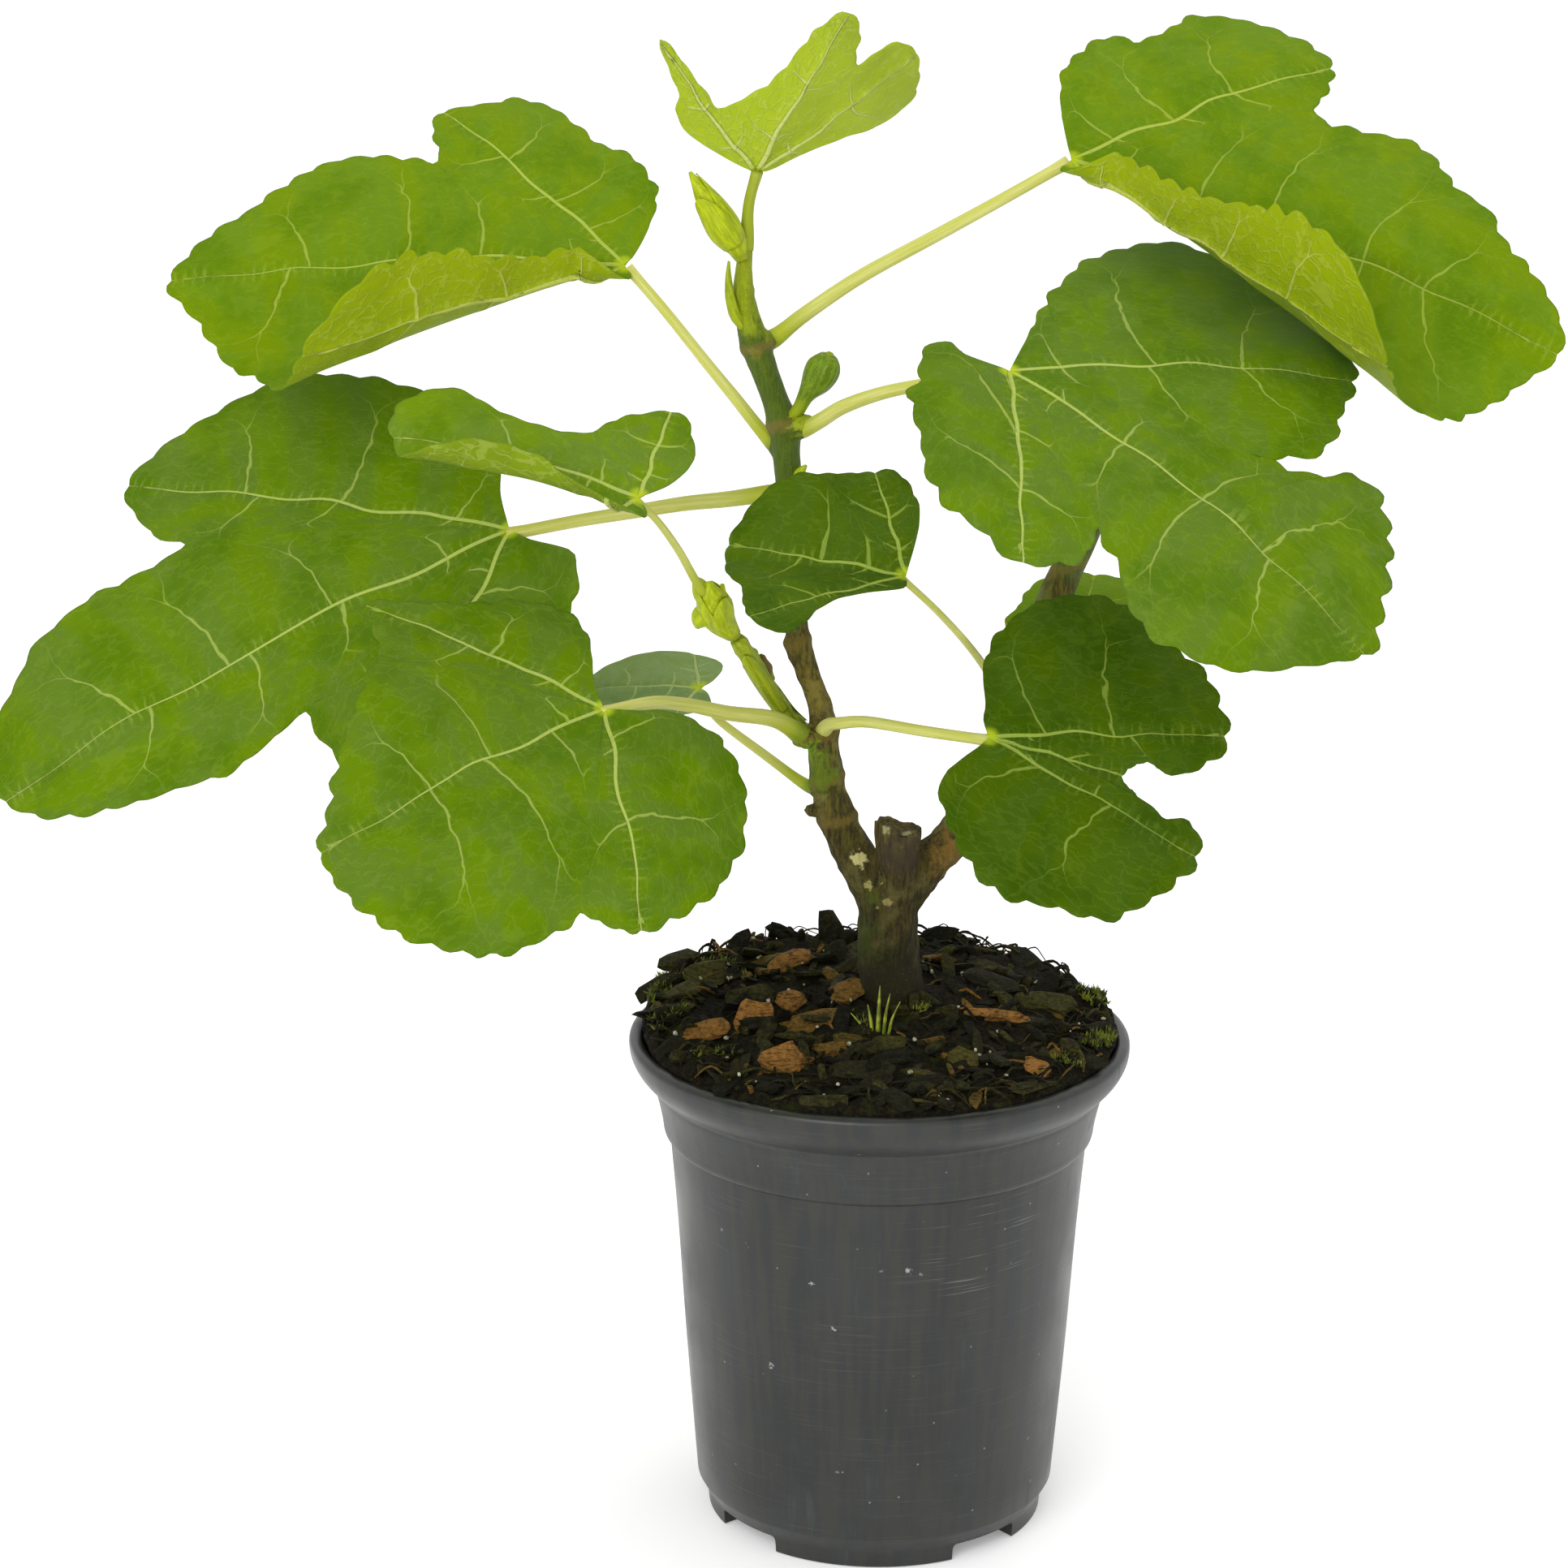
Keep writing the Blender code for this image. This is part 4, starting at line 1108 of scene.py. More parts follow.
    def build_surface(self) -> Object:
        """The body of the mix, with its crumbly top, which is smooth round the trunk."""
        top = [(self.edge * (i / self.rings) ** 0.9, self.front) for i in range(self.rings + 1)]
        bm = spun([*top, *self.side, (0, self.side[-1][1])], self.sides)
        for vert in bm.verts:
            if vert.co.z > self.front - 0.01:
                x, y = vert.co.x, vert.co.y
                ragged = 1 + 0.9 * smooth_step((math.hypot(x, y) - 50) / 10)
                beside = smooth_step((self.from_trunk(x, y) - 7) / 5)
                vert.co.z = self.height(x, y) + ragged * self.crumbs(x, y) * beside
                vert.co.z -= 1.6 * smooth_step((math.hypot(x, y) - 59.5) / 2)
        return add_piece(bm, "mix_crumbs", self.finish.material(), "bark_mix", "potting_mix")

    def add_chip(self, bm: BMesh, chip: Point, layer: object, draw: random.Random) -> None:
        """Adds one broken bark chip.

        Args:
            bm: The shape that takes it.
            chip: (x, y, length, width, depth, turn, tilt, tone).
            layer: The vertex layer of the tone.
            draw: The random draw of its broken outline.
        """
        x, y, length, width, depth, turn, tilt, tone = chip
        verts = bmesh.ops.create_icosphere(bm, subdivisions=2, radius=1)["verts"]
        key = Vector((draw.uniform(0, 90), draw.uniform(0, 90), draw.uniform(0, 90)))
        for vert in verts:
            vert[layer] = tone
            vert.co = [math.copysign(0.52 * abs(value) ** 0.55, value) for value in vert.co]
            vert.co += 0.3 * noise.noise_vector(vert.co * 1.7 + key)
        lift = 0.28 * depth + 0.12 * width * math.sin(math.radians(abs(tilt)))
        place = Matrix.Translation((x, y, self.height(x, y) + lift)) @ turned(tilt, "X")
        place = place @ turned(turn, "Z") @ turned(draw.uniform(-12, 12), "Y")
        place = place @ Matrix.Diagonal((length, width, depth, 1))
        bmesh.ops.transform(bm, matrix=place, verts=verts)

    def free_place(self, draw: random.Random, limit: float) -> tuple[float, float]:
        """A random place on the mix, clear of the trunk."""
        while True:
            reach, angle = limit * math.sqrt(draw.random()), draw.uniform(0, FULL_TURN)
            x, y = polar(angle, reach)
            if self.from_trunk(x, y) > self.clear_of_trunk:
                return x, y

    @staticmethod
    def held_inside(x: float, y: float, limit: float) -> tuple[float, float]:
        """A place, drawn in to the limit where it lies further out."""
        far = math.hypot(x, y)
        return (x * limit / far, y * limit / far) if far > limit else (x, y)

    def build_chips(self) -> Object:
        """All bark chips: those that stand out in front, and the rest by a seeded draw."""
        # Unless it is seeded, the noise that breaks up the outlines follows the clock
        noise.seed_set(self.seed)
        draw = random.Random(self.seed)
        bm = bmesh.new()
        layer = bm.verts.layers.float.new("tone")
        for chip in self.shown_chips:
            self.add_chip(bm, chip, layer, draw)
        for _ in range(self.chip_count):
            x, y = self.free_place(draw, self.cover_reach)
            large = draw.random() < self.large_chips
            length = draw.uniform(6, 12) if large else draw.uniform(2.5, 7)
            width = length * draw.uniform(0.22, 0.6)
            depth = draw.uniform(1.2, 2.4) if large else draw.uniform(0.7, 1.8)
            bright = draw.random() > self.bright_from
            tone = draw.uniform(0.55, 0.8) if bright else 0.45 * draw.random() ** 1.6
            tilt = draw.gauss(10, 32)
            chip = (x, y, length, width, depth, draw.uniform(0, 180), tilt, tone)
            self.add_chip(bm, chip, layer, draw)
        material = self.chip_finish.material("bark_chip")
        return add_piece(bm, "bark_chips", material, "bark_mix", smooth=False)

    def build_fibres(self) -> Object:
        """Dark roots and bark fibres that bend over the mix, thicker round the edge."""
        draw = random.Random(self.seed + 1)
        bm = bmesh.new()
        layer = bm.verts.layers.float.new("tone")
        bm.verts.layers.float_vector.new("straight")
        for i in range(self.fibre_count):
            edge = i % 2 == 0
            if edge:
                angle = draw.uniform(0, FULL_TURN)
                x, y = polar(angle, draw.uniform(self.reach, self.fibre_limit))
            else:
                x, y = self.free_place(draw, 56)
            heading = draw.uniform(0, FULL_TURN)
            length = draw.uniform(5, 15)
            lift = draw.uniform(0.6, 4.2) if edge else draw.uniform(0.4, 2)
            radius = draw.uniform(0.16, 0.5)
            knots = []
            for step in range(5):
                share = step / 4
                px = x + length * (share - 0.5) * math.cos(heading) + draw.uniform(-0.8, 0.8)
                py = y + length * (share - 0.5) * math.sin(heading) + draw.uniform(-0.8, 0.8)
                px, py = self.held_inside(px, py, self.fibre_limit)
                up = lift * math.sin(math.pi * share) - 0.4
                thick = radius * (1.1 - 0.6 * abs(share - 0.4))
                knots.append((px, py, self.height(px, py) + up, thick))
            tone = draw.uniform(0.5, 0.9) if draw.random() > 0.85 else draw.uniform(0, 0.4)
            for vert in Sweep(knots, sides=4, steps=2).add_to(bm):
                vert[layer] = tone
        return add_piece(bm, "bark_fibres", self.chip_finish.material("bark_fibre"), "bark_mix")

    def build_moss(self) -> Object:
        """Tufts of moss at both sides and beside the trunk."""
        draw = random.Random(self.seed + 2)
        bm = bmesh.new()
        for x, y, spread, count in self.moss:
            for _ in range(count):
                tx, ty = x + draw.gauss(0, spread / 2.4), y + draw.gauss(0, spread / 2.4)
                tx, ty = self.held_inside(tx, ty, self.cover_reach)
                base = self.height(tx, ty)
                for _ in range(9):
                    size = draw.uniform(1.3, 2.8)
                    lean = Matrix.Rotation(draw.uniform(0, FULL_TURN), 4, "Z")
                    lean = lean @ turned(draw.uniform(5, 65), "X")
                    spot = (tx + draw.uniform(-1.2, 1.2), ty + draw.uniform(-1.2, 1.2), base + 0.3)
                    place = Matrix.Translation(spot) @ lean @ Matrix.Translation((0, 0, size / 2))
                    bmesh.ops.create_cone(bm, cap_ends=True, segments=4, radius1=0.42, radius2=0.04,
                                          depth=size, matrix=place)
        finish = TwoToneFinish(srgb(122, 128, 30), srgb(44, 52, 14), 0.4)
        return add_piece(bm, "moss_tufts", finish.material("moss"), "bark_mix")

    def build_grit(self) -> Object:
        """Pale grains of grit."""
        draw = random.Random(self.seed + 3)
        bm = bmesh.new()
        for _ in range(self.grit_count):
            x, y = self.free_place(draw, self.grit_reach)
            size = draw.uniform(0.35, 0.9)
            turn = Matrix.Rotation(draw.uniform(0, 3), 4, Vector((draw.random(), draw.random(), 1)))
            bmesh.ops.create_icosphere(
                bm, subdivisions=1, radius=size,
                matrix=Matrix.Translation((x, y, self.height(x, y) + draw.uniform(0.6, 1.6)))
                @ turn @ Matrix.Diagonal((1, draw.uniform(0.6, 1), draw.uniform(0.5, 0.9), 1)))
        finish = TwoToneFinish(srgb(196, 192, 168), srgb(120, 116, 92), 1.2)
        return add_piece(bm, "grit", finish.material("grit"), "bark_mix")

    def build_sprig(self) -> Object:
        """A few thin grass blades in front of the trunk."""
        bm = bmesh.new()
        for dx, lean, height, width in self.sprig:
            x, y = -0.8 + dx, -20
            base = self.height(x, y) - 1
            middle = (x + lean * 0.3, y + 0.4, base + height * 0.5, width * 0.8)
            knots = [(x, y, base, width), middle, (x + lean, y + 1.5, base + height, 0.12)]
            Sweep(knots, 6, 4, lambda angle, _: 0.45 + 0.55 * abs(math.cos(angle))).add_to(bm)
        finish = TwoToneFinish(srgb(164, 172, 48), srgb(100, 112, 24), 0.3, 0.5)
        return add_piece(bm, "grass_sprig", finish.material("sprig"), "bark_mix")

    def build(self) -> None:
        """Makes the mix and all that lies on it."""
        for step in (self.build_surface, self.build_chips, self.build_fibres, self.build_moss,
                     self.build_grit, self.build_sprig):
            step()


# The stem

@dataclass
class WoodyStem:
    """Trunk, shoots and stubs, grown together as one body, each run as (x, y, z, radius)."""

    trunk: Points = (
        (3, 0, 124, 8.2), (3, 0, 143, 8.2), (2, 0, 151, 7.7), (2, 0, 161, 8), (1, 0, 171, 7),
    )
    main: Points = (
        (2, 0, 162, 6.2), (-5, 0, 176, 5.4), (-9, 1, 183, 5), (-12, 1, 190, 4.8),
        (-14, 1, 199, 4.4), (-15, 1, 206, 4.3), (-15, 1, 213, 3.7), (-17, 2, 221, 2.9),
        (-20, 2, 229, 3), (-21.6, 2, 234, 3.7), (-22, 3, 239, 3), (-23, 3, 254, 3.1),
        (-24, 3, 271, 3.3), (-25, 4, 284, 3.6), (-25.5, 4, 290, 4.3), (-27.5, 4, 296, 3.4),
        (-30, 4, 303, 3.4), (-32.6, 5, 310, 3.9), (-34.6, 5, 317, 3.2), (-35.8, 5, 324, 2.7),
        (-35.6, 6, 331, 2.1), (-35.2, 6, 336, 1.8),
    )
    stub: Points = ((2, 0, 158, 5.6), (4, -2, 174, 5.7), (4, -4, 182, 5.6), (4, -4, 189, 6.2))
    second: Points = (
        (3, 0, 163, 5.4), (11, 2, 175, 5.4), (18, 4, 182, 5.2), (24, 5, 191, 4.6),
        (29, 6, 200, 4.3), (36, 8, 215, 4.3), (40, 10, 233, 4.4), (45, 12, 248, 4.3),
        (53, 14, 264, 3.2), (56, 15, 271, 1),
    )
    twig: Points = ((-11, 1, 190, 2), (-16, -1, 191, 1.7), (-19, -3, 192, 1.5))
    # Nodes of the main shoot as (height, width of the ridge, how far it stands out)
    nodes: Points = (
        (186, 1.2, 0.35), (197, 1.4, 0.4), (209, 1.6, 0.45), (234, 1.2, 0.4), (262, 1.0, 0.3),
        (289, 1.4, 0.35), (309, 1.2, 0.35), (323, 0.9, 0.25),
    )
    marks: tuple[BarkMark, ...] = (
        BarkMark((-6, -5, 158), 9, srgb(54, 66, 14), 0.7, 0.8),
        BarkMark((-3, -7, 170), 5, srgb(78, 88, 22), 0.6, 0.8),
        BarkMark((-17.5, -1, 222), 6, srgb(138, 124, 54), 0.7, 0.8),
        BarkMark((-19, -2, 291.5), 5.4, srgb(144, 158, 8), 0.95, 0.45),
        BarkMark((-33, 2, 309), 2.4, srgb(132, 126, 44), 0.5, 0.8),
        BarkMark((-17, -3, 202), 8, srgb(92, 124, 0), 0.6, 0.8),
        BarkMark((-21, -1, 209), 5.5, srgb(112, 150, 14), 0.9, 0.6),
        BarkMark((-20, 5, 196.5), 4.5, srgb(104, 140, 16), 0.9, 0.6),
        BarkMark((18, -1, 180), 8, srgb(132, 100, 40), 0.6, 0.8),
        # The sawn stub's dark front is partly its own dark purple-brown bark and partly painted
        # shade
        BarkMark((5, -9, 182), 9, srgb(60, 48, 36), 0.75, 0.6),
        BarkMark((-5.6, -4.6, 179.5), 2.3, srgb(206, 196, 132)),
        BarkMark((-3.4, -5.8, 172.6), 1.5, srgb(166, 158, 96), 0.8),
        BarkMark((-0.6, -6.8, 173.6), 1.1, srgb(170, 162, 100), 0.7),
        BarkMark((1.8, -7.2, 168.4), 1.5, srgb(160, 148, 90), 0.7),
        BarkMark((-1.4, -7.4, 167.2), 0.9, srgb(166, 158, 96), 0.6),
        BarkMark((0.6, -9, 188.4), 1.5, srgb(172, 172, 128), 0.6),
        BarkMark((6.2, -9, 188.6), 1.6, srgb(160, 160, 118), 0.6),
    )
    swelling: Points = ((-24, 3, 289.5, 3.4), (-20.8, 0.4, 291, 3), (-18.9, -1.4, 292, 1.7))
    cushions: tuple[Points, ...] = ()
    voxel: float = 0.62
    smoothings: int = 3
    finish: BarkFinish = BarkFinish()

    def body(self) -> Object:
        """The runs of the stem, melted together by a voxel remesh."""
        bm = bmesh.new()
        for run in (self.trunk, self.main, self.stub, self.second, self.twig, self.swelling,
                    *self.cushions):
            Sweep(run, sides=28, steps=4).add_to(bm)
        stem = as_object(bm, "stem_runs")
        melt = stem.modifiers.new("Melt", "REMESH")
        melt.mode = "VOXEL"
        melt.voxel_size = self.voxel
        baked(stem)
        return stem

    def bark_height(self, place: Vector) -> float:
        """How far the bark stands out at a place: ridges and cracks below, fine lines above."""
        old = 1 - smooth_step((place.z - 200) / 60)
        ridges = noise.noise(Vector((place.x / 1.5, place.y / 1.5, place.z / 9)))
        knobs = noise.noise(place / 4.2)
        height = 0.34 * old * ridges + (0.12 + 0.42 * old) * knobs
        if place.z < 176:
            height += 0.5 * noise.noise(place / 7 + Vector((3, 1, 5)))
        if place.x < mix(12, -18, smooth_step((place.z - 160) / 80)):
            for level, width, out in self.nodes:
                level += self.finish.ring_tilt * (place.x + 0.12 * level)
                groove = bell(place.z - level + 2.2 * width, width)
                height += out * bell(place.z - level, width) - 0.5 * out * groove
        return height

    def roughen_cut(self, vert: BMVert) -> None:
        """Breaks up the flat top of the sawn stub."""
        x, y, z, radius = self.stub[-1]
        away = math.hypot(vert.co.x - x, vert.co.y - y)
        if z - 1.2 < vert.co.z and away < radius + 1:
            left = smooth_step((x - 2 - vert.co.x) / 4)
            rim = (0.2 + 1.2 * left) * (away / radius) ** 3
            slant = 0.17 * (vert.co.x - x)
            vert.co.z += 0.9 * noise.noise(vert.co / 3.2) + rim - 0.6 - slant

    def build(self) -> Object:
        rough = self.body()
        bm = bmesh.new()
        bm.from_mesh(rough.data)
        bpy.data.objects.remove(rough)
        for _ in range(self.smoothings):
            bmesh.ops.smooth_vert(bm, verts=bm.verts, factor=0.5, use_axis_x=True, use_axis_y=True,
                                  use_axis_z=True)
        bm.normal_update()
        for vert in bm.verts:
            vert.co += vert.normal * self.bark_height(vert.co)
            self.roughen_cut(vert)
        material = self.finish.material(self.marks, self.nodes)
        return add_piece(bm, "fig_stem", material, "bark", "stem")


# Green shoots, buds and the young fig

@dataclass
class Bud:
    """A bud: a core with pointed scales wrapped round it."""

    name: str
    nodes: tuple[str, ...]
    slot: str
    knots: Points
    finish: ShootFinish
    scales: Points = ()
    bumps: tuple[Points, ...] = ()
    knobs: float = 0.03
    sides: int = 24

    def add_scale(self, bm: BMesh, scale: Point) -> None:
        """Adds a scale that hugs the core.

        Args:
            bm: The shape that takes it.
            scale: (turn round the core, half width as an angle, start and end as shares of the
                core, how far its tip stands off).
        """
        turn, half, start, end, stand = scale
        stations = spline(self.knots, 6)
        points = [Vector(station[:3]) for station in stations]
        frames = carried_frames(points)
        grid = bmesh.ops.create_grid(bm, x_segments=10, y_segments=16, size=0.5)["verts"]
        faces = joined(grid, "link_faces")
        straight = bm.verts.layers.float_vector["straight"]
        for vert in grid:
            across, along = 2 * vert.co.x, vert.co.y + 0.5
            spot = mix(start, end, along) * (len(stations) - 1)
            i = min(int(spot), len(stations) - 2)
            share = spot - i
            radius = mix(stations[i][3], stations[i + 1][3], share)
            point = points[i].lerp(points[i + 1], share)
            narrow = math.sqrt(max(0.0, 1 - along ** 3)) * (0.75 + 0.25 * math.sin(math.pi * along))
            angle = math.radians(turn + half * across * narrow)
            radius = radius + 0.22 + stand * along ** 3
            place = Vector((*polar(angle, radius), 0))
            vert.co = point + frames[i].lerp(frames[i + 1], share) @ place
            vert[straight] = (place.x, place.y, spot)
        bmesh.ops.remove_doubles(bm, verts=grid, dist=0.01)
        faces = [face for face in faces if face.is_valid]
        bmesh.ops.recalc_face_normals(bm, faces=faces)
        bmesh.ops.solidify(bm, geom=faces, thickness=0.26)

    def uneven(self, angle: float, along: float) -> float:
        """The bud's faint ridges and knobs."""
        knob = noise.noise(Vector((math.cos(angle), math.sin(angle), along / 3)))
        return 1 + 0.05 * math.sin(3 * angle + along) + self.knobs * knob

    def build(self) -> Object:
        bm = Sweep(self.knots, self.sides, 5, self.uneven).build()
        for bump in self.bumps:
            Sweep(bump, sides=16, steps=5).add_to(bm)
        for scale in self.scales:
            self.add_scale(bm, scale)
        return add_piece(bm, self.name, self.finish.material(self.name), self.slot, *self.nodes)


GREEN_BUD = ShootFinish(srgb(180, 194, 0), srgb(146, 162, 0), srgb(204, 210, 70))
GREEN_SHOOT = ShootFinish(srgb(164, 178, 12), srgb(122, 138, 4), srgb(190, 192, 80))
BROWN_NUB = ShootFinish(srgb(122, 102, 38), srgb(84, 72, 22), srgb(160, 140, 70))
FIG_SKIN = ShootFinish(srgb(114, 144, 0), srgb(84, 108, 0), srgb(156, 172, 44), 0.8, 0.42,
                       root_length=12)

BUDS = (
    Bud("side_shoot_green", ("side_shoot",), "green_shoot",
        ((-17, 3, 209, 2.6), (-21, 3, 212, 2.5), (-25, 1, 217, 2.2), (-29, -4, 224, 2.2),
         (-34, -14, 235, 2.4), (-37, -19, 241, 2)), GREEN_SHOOT,
        ((40, 60, 0.45, 0.9, 0.5), (200, 60, 0.2, 0.62, 0.6)), knobs=0.3),
    Bud("side_bud_green", ("side_bud",), "bud_green",
        ((-37.4, -19.2, 241.8, 1.6), (-41, -22, 246.6, 3.6), (-42.4, -26, 251.4, 4.1),
         (-43.4, -28.6, 255.6, 2.6), (-43.6, -29.6, 258.2, 0.6)), GREEN_BUD,
        ((20, 80, 0.06, 0.92, 0.5), (150, 75, 0.05, 0.8, 0.7), (265, 75, 0.03, 0.7, 0.6)),
        (((-43, -25, 250, 1.6), (-45, -25, 248.6, 3), (-46.2, -24.6, 246.8, 2.2),
          (-46.8, -24.4, 245.2, 0.5)),
         ((-43, -27, 252, 2.6), (-45.2, -27, 255, 2.7), (-46.6, -26.6, 257.6, 1.5),
          (-47, -26.4, 258.6, 0.5)),
         ((-41.4, -27, 252.6, 2), (-40.8, -26.6, 255, 1.3), (-40.4, -26.2, 257, 0.4)))),
    Bud("side_shoot_nub", (), "bark",
        ((-29, -4.4, 227, 1.6), (-30, -6.4, 230.4, 1.7), (-30.7, -8, 233, 1.2),
         (-31.1, -8.8, 234.4, 0.4)), BROWN_NUB, knobs=0.2),
    Bud("crown_bud_green", ("crown_bud",), "bud_green",
        ((-36, 5, 332, 1.6), (-38, 4, 336, 3.1), (-40.6, 3, 340, 4.1), (-43.2, 2.4, 344.6, 3.5),
         (-46.2, 2, 349.4, 2.1), (-49, 2, 354, 0.4)), GREEN_BUD,
        ((200, 85, 0.2, 0.78, 0.7), (330, 80, 0.22, 0.95, 0.3), (90, 70, 0.2, 0.7, 0.5))),
    Bud("stipule_sheath", ("stipule",), "green_shoot",
        ((-34, 5, 313, 1.2), (-38, 2.4, 319, 1.5), (-39.4, 2, 326, 1), (-39.4, 2, 332, 0.3)),
        GREEN_SHOOT),
    Bud("axil_bud_green", ("axil_bud",), "bud_green",
        ((-24, 3, 276, 1.4), (-21.6, 1, 279, 1.3), (-20, 0, 281, 0.4)), GREEN_BUD),
)


@dataclass
class YoungFig:
    """The small green fig: a ribbed body on a slim neck, with a puckered eye at its end."""

    knots: Points = (
        (-25, 4, 290, 2.1), (-22, 1, 295, 1.75), (-20, 0, 299, 2.2), (-17.4, -1, 303, 3.9),
        (-15.6, -2, 306.5, 4.2), (-14.6, -2.2, 308.9, 2.6), (-14.3, -2.3, 309.7, 0.9),
    )
    ribs: int = 11
    eye: int = 8
    finish: ShootFinish = FIG_SKIN

    def rib(self, angle: float, along: float) -> float:
        """The fig's faint ribs, which fade on its neck."""
        body = smooth_step((along - 10) / 5)
        return 1 + 0.03 * body * math.cos(self.ribs * angle)

    def build(self) -> Object:
        bm = Sweep(self.knots, sides=44, steps=7, shape=self.rib).build()
        end, before = Vector(self.knots[-1][:3]), Vector(self.knots[-3][:3])
        along = (end - before).normalized()
        across = along.orthogonal().normalized()
        for i in range(self.eye):
            turn = Matrix.Rotation(FULL_TURN * i / self.eye, 3, along)
            out = turn @ across
            Sweep([(*(end + out * 0.9 - along * 0.3), 0.34),
                   (*(end + out * 0.5 + along * 0.25), 0.3),
                   (*(end + out * 0.1 + along * 0.42), 0.12)], sides=6, steps=2).add_to(bm)
        material = self.finish.material("fig_skin")
        return add_piece(bm, "green_fig", material, "fig_green", "young_fig")


# The leaves

# The outline and its teeth
OUTLINE_STEPS = 6
FEWEST_TEETH = 3
POINTS_A_TOOTH = 5
# The spokes of a half lobe: steps in mm along the seam to the next lobe and along the main vein,
# the share of the vein that they start from, how squarely they meet the rim and how far they bow
SEAM_STEP = 3
ROOT_STEP = 2.4
ROOT_SHARE = 0.92
BOW_STEPS = 20
SQUARE = 0.42
BOW = 0.25
# Rings of the grid in mm from the main vein and from the rim, and how many lie between
NEAR_RINGS = (0.0, 0.5, 1.05, 2.0, 4.0)
FAR_RINGS = 9
RIM_RING = 0.7
# How far on either side, in side veins, their spacing is measured
WINDOW = 0.22
# A side that turns by more than this rolls up as a cone, which never gets narrower than this share
CURLED = 60
LEAST_CONE = 0.3
# The ripple of a blade: the distance over which it rises, and its waves round the stalk
RIPPLE_REACH = 60
RIPPLES = 7
# Thicknesses in mm, and the width of the calm strip along the rim and the main vein
THICKEST = 2.4
BLADE = 0.42
UPPER_LIFT = 0.22
CALM_STRIP = 9
UNFOLD_ROUNDS = 80
UV_MAPS = ("sheet", "veins", "ribs", "ladder")

YOUNG_STALK = StalkFinish(srgb(158, 170, 52), srgb(144, 156, 26), srgb(148, 160, 20),
                          srgb(146, 160, 16))
CLASPING_STALK = StalkFinish(root_length=1.5, young_length=6)
NODE_STALK = StalkFinish(root_length=11, young_length=22)


@dataclass
class Spoke:
    """A line of a half lobe from its main vein to its rim.

    Its points are (share of the way, place). Its number counts side veins, and its end is held at a
    share of the puff where it meets the next half lobe instead of the leaf's edge.
    """

    points: list[tuple[float, Vector]]
    number: float
    held: float

    def length(self) -> float:
        """The straight distance between its ends."""
        return (self.points[-1][1] - self.points[0][1]).length


@dataclass(frozen=True)
class Spot:
    """Where a point lies among the veins, in millimetres apart from the counts and shares."""

    number: float
    share: float
    far: float
    spacing: float
    spoke: float
    held: float
    out: float

    def side(self) -> float:
        """The distance from the nearest side vein."""
        return abs(self.number - round(self.number)) * self.spacing if self.number > 0.75 else 9.0


